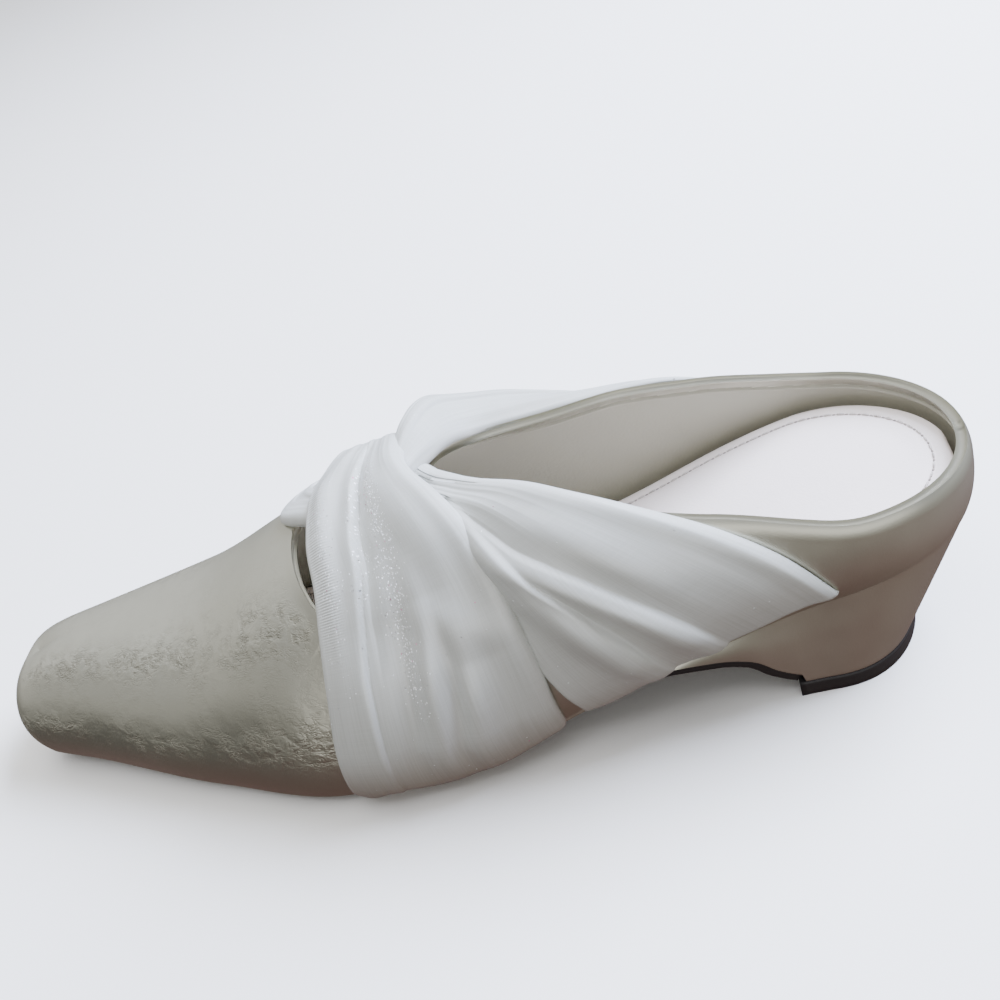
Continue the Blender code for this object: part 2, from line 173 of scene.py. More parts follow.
RIBBON_INNER = table(
    RIBBON_COLUMNS,
    (-25, 89, 2.1, 30.5, 89, 2.1, 0),
    (-23, 74, 2.7, 28, 75, 2.7, 0),
    (-21, 58, 2.6, 21, 59, 2.8, 0),
    (-23, 42, 2.0, 12.5, 46, 2.6, 0),
    (-28, 26, 1.5, 4, 33, 2.2, 0),
    (-28, 10, 1.6, -9, 26, 2.6, 0),
    (-19, 0, 2.8, -11, 12, 4.2, 0),
    (-9, -4.5, 4.8, -7, 7, 5.2, 0),
    (-1, -5.5, 5.2, -1, 6, 5.2, 0),
    (6, -5, 5.2, 5, 8, 5.2, 0),
    (13.5, 6, 3.4, 7, 19, 5.8, 4.5),
    (20.5, 28, 1.5, 7.5, 32, 4.4, 9),
    (31, 38.5, 1.5, 14, 45, 3.2, 9),
    (45, 47, 1.7, 22.5, 56, 3.0, 6),
    (60, 56, 2.6, 28.5, 67, 3.0, 2),
    (76, 71, 3.3, 32, 79, 3.0, 0),
    (90, 87, 2.4, 34, 88, 2.2, 0),
)
# Folds of a strip: the places each runs through, as (row of the strip's table, share of the way
# across, height), how far it reaches to either side, and for a lapped fold how far before its
# line it is highest. Heights and reaches are in millimetres.
OUTER_FOLDS = (
    # front fan, from its front edge to its back edge
    (((0, 0.10, 0.5), (3, 0.10, 1.0), (6, 0.16, 1.6), (7, 0.20, 1.2)), 3.5, 3.5),
    (
        ((0.4, 0.215, 0.8), (2, 0.215, 1.4), (4.4, 0.315, 1.3), (5.5, 0.41, 0.9), (7, 0.5, 0.3)),
        3.4,
        0.35,
    ),
    (((3, 0.30, -0.4), (4.6, 0.37, -1.0), (6, 0.48, -1.4), (7.3, 0.54, -1.0)), 0.5, 2.2),
    (((0.8, 0.36, -1.0), (2, 0.42, -1.3), (3.4, 0.50, -0.4)), 3.0, 3.4),
    (((0.6, 0.49, 0.9), (1.85, 0.54, 1.6), (3.1, 0.60, 0.6)), 3.4, 2.6),
    (((0.6, 0.57, -0.6), (1.4, 0.62, -1.0), (2.0, 0.66, -0.5)), 2.2, 2.4),
    (((0.6, 0.66, 0.8), (1.4, 0.70, 1.1), (2.0, 0.72, 0.4)), 2.4, 3.2),
    (((0.6, 0.82, -0.5), (1.6, 0.84, -0.7), (2.4, 0.84, -0.3)), 3.0, 3.4),
    (((1.9, 0.93, 0.4), (2.6, 0.74, 1.0), (3.2, 0.50, 0.6)), 8.0, 7.0),
    (((3.2, 0.78, 0.8), (4.3, 0.80, 1.8), (6.4, 0.78, 1.2)), 7.5, 5.0),
    (((0, 0.985, 0.3), (3, 0.975, 0.5), (7, 0.96, 0.6)), 2.5, 1.0),
    # back band, from its lower edge to its upper edge
    (
        (
            (13.1, 0.49, 0.4),
            (14.5, 0.23, 1.2),
            (15.6, 0.25, 2.2),
            (16.3, 0.30, 2.7),
            (17.0, 0.33, 2.8),
            (17.9, 0.35, 2.6),
            (18.6, 0.36, 1.6),
        ),
        4.5,
        0.7,
        2.8,
    ),
    (
        (
            (12.6, 0.52, 0.4),
            (14.1, 0.27, 1.0),
            (15.0, 0.30, 1.8),
            (15.7, 0.39, 2.2),
            (16.6, 0.49, 2.5),
            (17.3, 0.54, 2.6),
            (17.9, 0.56, 2.4),
            (18.6, 0.575, 1.5),
        ),
        3.8,
        0.7,
        2.2,
    ),
    (((14.6, 0.62, 0.2), (16.2, 0.66, 1.0), (17.4, 0.68, 0.3)), 4.0, 5.0),
    (((15.5, 0.84, 0.1), (17, 0.85, 0.3), (18.4, 0.86, 0.3)), 4.5, 4.5),
    (((13, 0.95, 0.5), (16, 0.97, 0.8), (18.6, 0.98, 0.7)), 3.0, 1.0),
)
INNER_FOLDS = (
    # front fan
    (((0.5, 0.10, 0.8), (2.5, 0.10, 0.9), (4, 0.12, 0.5), (6, 0.15, 0.4)), 3.5, 0.8),
    (((0.5, 0.34, 1.4), (2.5, 0.34, 1.4), (4, 0.36, 0.8), (6, 0.38, 0.6)), 7.0, 0.8),
    (((0.5, 0.58, 1.4), (2.5, 0.60, 1.4), (4, 0.61, 0.9), (6, 0.62, 0.7)), 7.0, 0.8),
    (((0.5, 0.84, 1.4), (2.5, 0.84, 1.4), (4, 0.84, 1.0), (6, 0.84, 0.8)), 6.0, 1.2),
    # back band, from the edge along the collar to its outer edge
    (((9.5, 0.10, 0.3), (11.5, 0.07, 0.6), (15.4, 0.05, 0.7)), 1.0, 3.0),
    (((9.5, 0.36, 0.4), (11.5, 0.30, 0.7), (13.5, 0.26, 1.0), (15.4, 0.24, 1.0)), 0.8, 4.5),
    (((9.5, 0.62, 0.4), (12.5, 0.52, 0.9), (15.4, 0.48, 1.5)), 0.8, 7.0),
    (((9.5, 0.84, 0.3), (12.5, 0.78, 0.8), (15.4, 0.74, 1.3)), 0.8, 8.0),
)
# How far each hem hangs on past its last row, by share of the way across.
HEM_COLUMNS = "share drop"
OUTER_HEMS = (
    table(
        HEM_COLUMNS,
        (0, 1.8),
        (0.06, 3.0),
        (0.16, 1.9),
        (0.45, 3.2),
        (0.75, 2.6),
        (0.92, 1.6),
        (1, 1),
    ),
    table(
        HEM_COLUMNS,
        (0, 0.2),
        (0.05, 2.2),
        (0.15, 3.2),
        (0.28, 1.6),
        (0.36, 0.0),
        (0.46, 0.6),
        (0.58, 0.0),
        (0.72, 0.4),
        (0.88, -0.6),
        (1, 0),
    ),
)
INNER_HEMS = (
    table(HEM_COLUMNS, (0, 0), (0.2, 0.8), (0.34, 0.2), (0.5, 0.9), (0.6, 0.2), (0.8, 0.8), (1, 0)),
    table(HEM_COLUMNS, (0, 0), (0.3, 0.9), (0.46, 0.2), (0.62, 0.9), (0.74, 0.2), (0.88, 0.7), (1, 0)),
)
CLOTH, GATHERED_CLOTH = 0.8, 2.2
GATHER_WIDTH = (26.0, 13.0)
HEM_CURL, HEM_ANGLE, HEM_ROWS = 1.7, 115, 8
EDGE_ROLL, EDGE_ANGLE, EDGE_ROWS = 1.1, 110, 7
# Towards the gathered neck the edges roll more and the folds flatten; towards the back hem the
# edges roll less. Each is a share.
NECK_ROLL, NECK_FLATTENS, BACK_HEM_ROLL = 0.6, 0.6, 0.55
# Gathers show where a section is narrower than the second width, fully below the first.
PULL_WIDTH, PULL_DEPTH, FOLD_SINK = (10, 36), 0.7, 0.3

# Colours, as sRGB hex
# The third champagne colour is painted shade, laid into the foil's creases.
CHAMPAGNE, CHAMPAGNE_WORN, CHAMPAGNE_CREASE_SHADE = "D0CEBE", "C4C2B2", "AAA696"
LINING_BEIGE, SOCK_WHITE, THREAD_WHITE = "B0AD9C", "F3E8E3", "CFC6C0"
# The needle holes' colours are painted shade for the hollow of each hole, over a matt cut edge.
HOLE_SHADE_DARK, HOLE_SHADE_PALE = "8C827C", "A0968F"
SOLE_BLACK, SOLE_GRAIN = "1B191A", "2A2727"
ORGANZA_WHITE, ORGANZA_SHADE = "CFD0CB", "C7C8C2"
# The first two colours on the next line are the organza's painted shade down by the sole, and no shade
# above it.
ORGANZA_PAINTED_LOW_SHADE, ORGANZA_UNSHADED, SHEEN_COOL = "BEB0A4", "FFFFFF", "EEF2FF"
GLITTER_SILVER, GLITTER_PINK = "FFFFFF", "F29AC2"
FLOOR_WHITE, FLOOR_PALE = "F6F3ED", "FAF7F2"
FOIL_ROUGHNESS = 0.285, 0.365

# The room's brightness from straight down, 0, to straight up, 1.
ROOM = (
    (0.02, "523D3A"),
    (0.12, "634D4B"),
    (0.19, "6C5756"),
    (0.25, "726B69"),
    (0.33, "807F7A"),
    (0.415, "949491"),
    (0.50, "AFAFAE"),
    (0.63, "B8B8B8"),
    (0.75, "C0C0C0"),
    (0.86, "C0C1C2"),
    (1.0, "F0F2F4"),
)
ROOM_STRENGTH = 1.45
# Lamps, in metres and watts: name, place, what it is turned to, size, power and colour.
LAMPS = (
    ("window", (0.73, 0.42, 0.85), (0, 0, 0.03), (0.9, 0.7), 84.0, "D6E2FF"),
    ("ceiling", (-0.1, 0.0, 1.3), (0, 0, 0.03), (1.4, 1.4), 17.0, "F3F6FF"),
)
CAMERA_AZIMUTH, CAMERA_ELEVATION, CAMERA_ROLL = 16.31, 37.22, -21.91
CAMERA_DISTANCE, CAMERA_LENS = 246.84, 39.74
CAMERA_TARGET = np.array([23.79, 0.03, 49.42])

RANDOM = np.random.default_rng(35)


# ---------------------------------------------------------------------------
# The shoe's surfaces
# ---------------------------------------------------------------------------


def smooth(at, columns, name, key="along"):
    """A column read between its rows: the monotone cubic through them, which has the harmonic
    mean of the two slopes at each row, so that it never overshoots."""
    xs, ys = columns[key], columns[name]
    step = np.diff(xs)
    slope = np.diff(ys) / step
    inner = np.zeros(len(xs))
    rising = slope[:-1] * slope[1:] > 0
    first, second = 2 * step[1:] + step[:-1], step[1:] + 2 * step[:-1]
    safe = np.where(rising, slope[:-1], 1.0), np.where(rising, slope[1:], 1.0)
    inner[1:-1] = np.where(rising, (first + second) / (first / safe[0] + second / safe[1]), 0.0)
    inner[0], inner[-1] = slope[0], slope[-1]
    at = np.clip(np.asarray(at, float), xs[0], xs[-1])
    k = np.clip(np.searchsorted(xs, at, side="right") - 1, 0, len(step) - 1)
    h, t = step[k], (at - xs[k]) / step[k]
    return (
        ys[k] * (1 + 2 * t) * (1 - t) ** 2
        + inner[k] * h * t * (1 - t) ** 2
        + ys[k + 1] * t**2 * (3 - 2 * t)
        + inner[k + 1] * h * t**2 * (t - 1)
    )


def soft_step(value, low, high):
    """From 0 at low to 1 at high, level at both: three t squared less two t cubed."""
    t = np.clip((value - low) / (high - low), 0, 1)
    return t * t * (3 - 2 * t)


def bell(value, width):
    """A soft hump: e to the minus value over width squared."""
    return np.exp(-((value / width) ** 2))


def unit(vectors):
    return vectors / (np.linalg.norm(vectors, axis=-1, keepdims=True) + 1e-12)


def rounding(along):
    """How much of the full width a station keeps: a superellipse at either tip."""
    toe = np.clip((TOE + TOE_RADIUS - along) / TOE_RADIUS, 0, 1)
    heel = np.clip((along - HEEL + HEEL_RADIUS) / HEEL_RADIUS, 0, 1)
    toe = (1 - toe**TOE_SQUARENESS) ** (1 / TOE_SQUARENESS)
    return toe * (1 - heel**HEEL_SQUARENESS) ** (1 / HEEL_SQUARENESS)


def toe_stations(count):
    share = np.sin(np.linspace(0, np.pi / 2, count + 1)[::-1]) ** (2 / TOE_SQUARENESS)
    return TOE + TOE_RADIUS * (1 - share)


def heel_stations(count):
    share = np.sin(np.linspace(0, np.pi / 2, count + 1)) ** (2 / HEEL_SQUARENESS)
    return HEEL - HEEL_RADIUS * (1 - share)


def skin(along, side, angle):
    """The outside of the upper on one side. Its section is a quarter of a squared ellipse from
    the feather edge, angle 0, to the ridge, angle 90; near the tips it rakes towards the
    middle of the shoe, and close to the sole it tucks in."""
    along, angle = np.broadcast_arrays(np.asarray(along, float), np.radians(angle))
    lateral, medial = smooth(along, LAST, "lateral"), smooth(along, LAST, "medial")
    edge = (medial - lateral) / 2 + side * (medial + lateral) / 2 * rounding(along)
    top = along + TOE_RAKE * np.exp((TOE - along) / TOE_RAKE_REACH)
    top = top - HEEL_RAKE * np.exp((along - HEEL) / HEEL_RAKE_REACH)
    middle = (smooth(top, LAST, "medial") - smooth(top, LAST, "lateral")) * RIDGE_OFFSET
    base, rise = smooth(along, LAST, "feather"), smooth(top, LAST, "ridge")
    inward = 1 - np.cos(angle) ** (2 / SECTION_FULLNESS)
    upward = (rise - base) * np.sin(angle) ** (2 / SECTION_FULLNESS)
    x, y, z = along + (top - along) * inward, edge + (middle - edge) * inward, base + upward
    reach = np.hypot(top - along, middle - edge) + 1e-9
    back = soft_step(along, BACK_FROM, BACK_TO)
    tuck = TUCK + (TUCK_BACK - TUCK) * back
    tuck = tuck * np.clip(1 - upward / TUCK_RISE, 0, 1) ** 2
    full = upward / BACK_FULLEST
    tuck = tuck - BACK_FULLNESS * back * full * np.exp(1 - full)
    x, y = x + tuck * (top - along) / reach, y + tuck * (middle - edge) / reach
    return np.stack([x, y, z], -1)


def over_ridge(along, turn):
    """The outside of the upper, with one angle for both sides: -90 is the lateral feather edge,
    0 the ridge and 90 the medial feather edge."""
    lateral, medial = (skin(along, side, 90 - np.abs(turn)) for side in (LATERAL, MEDIAL))
    return np.where((np.asarray(turn) < 0)[..., None], lateral, medial)


def outwards(along, turn):
    """The outward unit normal of that surface: the cross product of its two tangents, each
    taken over a small step to either side."""
    ahead = over_ridge(along + 0.3, turn) - over_ridge(along - 0.3, turn)
    before, after = np.clip(turn - 0.4, -90, 90), np.clip(turn + 0.4, -90, 90)
    return unit(np.cross(ahead, over_ridge(along, after) - over_ridge(along, before)))


def feather(along, side, inset=0.0):
    """The feather edge in plan, moved inwards by the inset."""
    edge, ridge = skin(along, side, 0.0), skin(along, side, 90.0)
    return edge[..., :2] + unit((ridge - edge)[..., :2]) * inset


def opening_angle(along):
    """How far up the section the leather goes: to the ridge in front of the throat, along the
    cut-out under the knot, then to the height of the topline."""
    base = smooth(along, LAST, "feather")
    top = along - HEEL_RAKE * np.exp((along - HEEL) / HEEL_RAKE_REACH)
    part = (smooth(along, TOPLINE, "height") - base) / (smooth(top, LAST, "ridge") - base)
    collar = np.degrees(np.arcsin(np.clip(part, 0, 1) ** (SECTION_FULLNESS / 2)))
    cutout = smooth(along, CUTOUT, "angle")
    return np.where(along <= THROAT, 90.0, np.where(along < CUTOUT["along"][-1], cutout, collar))


# ---------------------------------------------------------------------------
# Meshes
# ---------------------------------------------------------------------------


def quads(rows, columns, start=0, wrap=False, flip=False):
    """The quads of a grid of points that are numbered row by row from start."""
    i = np.arange(rows - 1)[:, None]
    j = np.arange(columns if wrap else columns - 1)[None]
    k = (j + 1) % columns
    corners = [i * columns + j, (i + 1) * columns + j, (i + 1) * columns + k, i * columns + k]
    faces = np.stack(np.broadcast_arrays(*corners), -1).reshape(-1, 4) + start
    return faces[:, ::-1] if flip else faces


def make_piece(name, points, faces, materials, slots=None, values=None, uv=None):
    """A mesh object from points in millimetres and quads. slots gives each face its material,
    values holds named numbers for each point, and uv a place on the cloth in millimetres."""
    mesh = bpy.data.meshes.new(name)
    points = ((np.asarray(points).reshape(-1, 3) - CENTRE) * MM).astype(np.float32)
    faces = np.ascontiguousarray(faces, np.int32)
    mesh.vertices.add(len(points))
    mesh.vertices.foreach_set("co", points.ravel())
    mesh.loops.add(faces.size)
    mesh.loops.foreach_set("vertex_index", faces.ravel())
    mesh.polygons.add(len(faces))
    mesh.polygons.foreach_set("loop_start", np.arange(0, faces.size, 4, dtype=np.int32))
    if slots is not None:
        mesh.polygons.foreach_set("material_index", np.asarray(slots, np.int32))
    for made in materials:
        mesh.materials.append(made)
    for label, numbers in (values or {}).items():
        layer = mesh.attributes.new(label, "FLOAT", "POINT")
        layer.data.foreach_set("value", np.asarray(numbers, np.float32).ravel())
    if uv is not None:
        layer = mesh.uv_layers.new(name="cloth")
        layer.data.foreach_set("uv", np.asarray(uv, np.float32).reshape(-1, 2)[faces.ravel()].ravel())
    mesh.update(calc_edges=True)
    mesh.validate()
    piece = bpy.data.objects.new(name, mesh)
    bpy.context.scene.collection.objects.link(piece)
    return piece


def sew(piece, within=0.002, outward=True):
    """Merges points that lie within that many millimetres, and turns the faces outwards."""
    bm = bmesh.new()
    bm.from_mesh(piece.data)
    bmesh.ops.remove_doubles(bm, verts=bm.verts, dist=within * MM)
    bmesh.ops.dissolve_degenerate(bm, edges=bm.edges, dist=within * MM / 10)
    if outward:
        bmesh.ops.recalc_face_normals(bm, faces=bm.faces)
    bm.to_mesh(piece.data)
    bm.free()
    piece.data.shade_smooth()
    return piece


def loop_piece(name, rings, materials, values=None):
    """A closed solid through a list of closed rings, each an array of as many points. The
    first and last rings are shrunk on to their own middles to close the ends."""
    rings = np.asarray(rings)
    ends = [np.broadcast_to(ring.mean(0), ring.shape) for ring in (rings[0], rings[-1])]
    rings = np.concatenate([ends[0][None], rings, ends[1][None]])
    faces = quads(rings.shape[0], rings.shape[1], wrap=True)
    if values:
        values = {key: np.concatenate([v[:1], v, v[-1:]]) for key, v in values.items()}
    return sew(make_piece(name, rings, faces, materials, values=values))


# ---------------------------------------------------------------------------
# Finishes
# ---------------------------------------------------------------------------


def linear(code):
    """An sRGB hex colour as linear red, green, blue and alpha."""
    parts = [int(code[i : i + 2], 16) / 255 for i in (0, 2, 4)]
    return (*((c / 12.92 if c <= 0.04045 else ((c + 0.055) / 1.055) ** 2.4) for c in parts), 1.0)


def node(tree, kind, inputs=None, stops=None, **settings):
    """Adds a node. inputs holds a value or a link for each socket, and stops a colour ramp."""
    made = tree.nodes.new(kind)
    for name, value in settings.items():
        setattr(made, name, value)
    for name, value in (inputs or {}).items():
        if isinstance(value, bpy.types.NodeSocket):
            tree.links.new(value, made.inputs[name])
        else:
            made.inputs[name].default_value = value
    if stops:
        ramp = made.color_ramp
        ramp.elements[0].position, ramp.elements[0].color = stops[0]
        ramp.elements[1].position, ramp.elements[1].color = stops[-1]
        for place, colour in stops[1:-1]:
            ramp.elements.new(place).color = colour
    return made


def new_material(name, **settings):
    """A material with one Principled shader, and that shader's settings."""
    made = bpy.data.materials.new(name)
    made.use_nodes = True
    shader = made.node_tree.nodes["Principled BSDF"]
    for key, value in settings.items():
        shader.inputs[key.replace("_", " ")].default_value = value
    return made, made.node_tree, shader


GREY = [(v, v, v, 1.0) for v in np.linspace(0, 1, 11)]


def maths(tree, operation, *values):
    """The result of a Math node on these values or links."""
    return node(tree, "ShaderNodeMath", dict(enumerate(values)), operation=operation).outputs[0]


def mixed(tree, share, first, second, **settings):
    """From the first colour to the second, by the share."""
    inputs = {0: share, 6: first, 7: second}
    return node(tree, "ShaderNodeMix", inputs, data_type="RGBA", **settings).outputs[2]


def crackled_leather():
    """Foiled goat leather, pale champagne: a metal foil pressed on the grain, so it glows
    broadly like brushed metal, and where it was pulled over the last the foil has broken into
    short fine creases."""
    made, tree, shader = new_material("crackled_foil_leather", Metallic=0.88)
    place = node(tree, "ShaderNodeTexCoord").outputs["Object"]
    worn = node(tree, "ShaderNodeAttribute", attribute_name="creased").outputs["Fac"]

    def noise(scale, detail, **inputs):
        inputs = {"Vector": place, "Scale": scale, "Detail": detail, **inputs}
        return node(tree, "ShaderNodeTexNoise", inputs).outputs[0]

    def ramp(value, *stops):
        return node(tree, "ShaderNodeValToRGB", {0: value}, stops=stops).outputs[0]

    # Creases: wavy lines where one of three noises, drawn out along the shoe, passes through its
    # middle value, so that they cross and branch, 1 to 3 mm apart.
    def drawn_out(turn, across):
        inputs = {"Vector": place, "Rotation": (0.0, 0.0, turn), "Scale": (150.0, across, across)}
        vector = node(tree, "ShaderNodeMapping", inputs).outputs[0]
        value = noise(1.0, 2.5, Vector=vector, Distortion=1.6)
        away = maths(tree, "ABSOLUTE", maths(tree, "SUBTRACT", value, 0.5))
        return ramp(away, (0.0, GREY[0]), (0.022, GREY[5]), (0.075, GREY[10]))

    line = maths(tree, "MINIMUM", drawn_out(0.35, 430.0), drawn_out(-0.5, 380.0))
    line = maths(tree, "MINIMUM", line, drawn_out(1.2, 330.0))
    pieces = ramp(noise(330.0, 2.0), (0.40, GREY[1]), (0.58, GREY[10]))
    patch = noise(60.0, 3.0)
    patches = ramp(patch, (0.36, GREY[2]), (0.56, GREY[10]))
    pulled = maths(tree, "MULTIPLY", patches, worn)
    amount = maths(tree, "MULTIPLY", pulled, pieces)
    creases = mixed(tree, amount, GREY[10], line)
    # Between the creases the foil is pillowed, 3 to 5 mm across.
    pillows = maths(tree, "MULTIPLY", noise(260.0, 3.0, Distortion=0.8), pulled)
    bump = None
    for height, distance, strength in (
        (noise(45.0, 2.0), 0.0014, 0.35),
        (pillows, 0.0012, 0.55),
        (creases, 0.00020, 0.75),
        (noise(1800.0, 2.0), 0.00003, 0.5),
    ):
        inputs = {"Height": height, "Distance": distance, "Strength": strength}
        if bump:
            inputs["Normal"] = bump.outputs[0]
        bump = node(tree, "ShaderNodeBump", inputs)
    # The seam up the middle of the back, a pressed line a millimetre wide.
    seam = node(tree, "ShaderNodeAttribute", attribute_name="from_back_seam").outputs["Fac"]
    groove = ramp(seam, (0.0, GREY[0]), (0.35, GREY[2]), (0.75, GREY[10]), (1.0, GREY[9]))
    inputs = {"Height": groove, "Distance": 0.0006, "Strength": 0.9, "Normal": bump.outputs[0]}
    bump = node(tree, "ShaderNodeBump", inputs)
    colour = mixed(tree, patch, linear(CHAMPAGNE_WORN), linear(CHAMPAGNE))
    # The creases are also darkened in colour: painted shade in them, on top of their real bumps.
    crease_shaded_colour = mixed(tree, creases, linear(CHAMPAGNE_CREASE_SHADE), colour)
    smoothest, roughest = FOIL_ROUGHNESS
    inputs = {0: patch, 1: 0.3, 2: 0.7, 3: smoothest, 4: roughest}
    gloss = node(tree, "ShaderNodeMapRange", inputs)
    tree.links.new(crease_shaded_colour, shader.inputs["Base Color"])
    tree.links.new(gloss.outputs[0], shader.inputs["Roughness"])
    tree.links.new(bump.outputs[0], shader.inputs["Normal"])
    return made


def soft_leather(name, colour, roughness, grain):
    """Coated pigskin or its synthetic: an even, matt coat over fine pores."""
    made, tree, shader = new_material(name, Roughness=roughness)
    place = node(tree, "ShaderNodeTexCoord").outputs["Object"]
    pores = node(
        tree, "ShaderNodeTexVoronoi", {"Vector": place, "Scale": grain}, feature="SMOOTH_F1"
    )
    cloud = node(tree, "ShaderNodeTexNoise", {"Vector": place, "Scale": 60.0, "Detail": 3.0})
    shade = tuple(c * 0.93 for c in linear(colour)[:3]) + (1.0,)
    mix = mixed(tree, cloud.outputs[0], shade, linear(colour))
    inputs = {"Height": cloud.outputs[0], "Distance": 0.0006, "Strength": 0.4}
    low = node(tree, "ShaderNodeBump", inputs)
    fine = node(
        tree,
        "ShaderNodeBump",
        {"Height": pores.outputs[0], "Distance": 0.00006, "Strength": 0.5, "Normal": low.outputs[0]},
    )
    tree.links.new(mix, shader.inputs["Base Color"])
    tree.links.new(fine.outputs[0], shader.inputs["Normal"])
    return made


def sewing_thread():
    """Bonded polyester thread: fine, twisted and faintly shiny."""
    made, tree, shader = new_material("polyester_thread", Roughness=0.5)
    shader.inputs["Base Color"].default_value = linear(THREAD_WHITE)
    shader.inputs["Sheen Weight"].default_value = 0.3
    place = node(tree, "ShaderNodeTexCoord").outputs["Object"]
    twist = node(tree, "ShaderNodeTexWave", {"Vector": place, "Scale": 900.0})
    bump = node(tree, "ShaderNodeBump", {"Height": twist.outputs[0], "Distance": 0.0001})
    tree.links.new(bump.outputs[0], shader.inputs["Normal"])
    return made


def shaded_needle_hole():
    """The bare edge of coated leather inside a needle hole: matt, and darkened as painted shade for
    the hollow of the hole.
    """
    made, tree, shader = new_material("hole_shade_leather_edge", Roughness=0.9)
    place = node(tree, "ShaderNodeTexCoord").outputs["Object"]
    fibres = node(tree, "ShaderNodeTexNoise", {"Vector": place, "Scale": 2500.0}).outputs[0]
    mix = mixed(tree, fibres, linear(HOLE_SHADE_DARK), linear(HOLE_SHADE_PALE))
    tree.links.new(mix, shader.inputs["Base Color"])
    return made


def sole_rubber():
    """Moulded thermoplastic rubber: near black, dull, with the fine grain of its mould."""
    made, tree, shader = new_material("moulded_rubber", Roughness=0.5)
    place = node(tree, "ShaderNodeTexCoord").outputs["Object"]
    grain = node(tree, "ShaderNodeTexNoise", {"Vector": place, "Scale": 1500.0, "Detail": 2.0})
    mix = mixed(tree, grain.outputs[0], linear(SOLE_BLACK), linear(SOLE_GRAIN))
    inputs = {"Height": grain.outputs[0], "Distance": 0.0001, "Strength": 0.5}
    bump = node(tree, "ShaderNodeBump", inputs)
    tree.links.new(mix, shader.inputs["Base Color"])
    tree.links.new(bump.outputs[0], shader.inputs["Normal"])
    return made


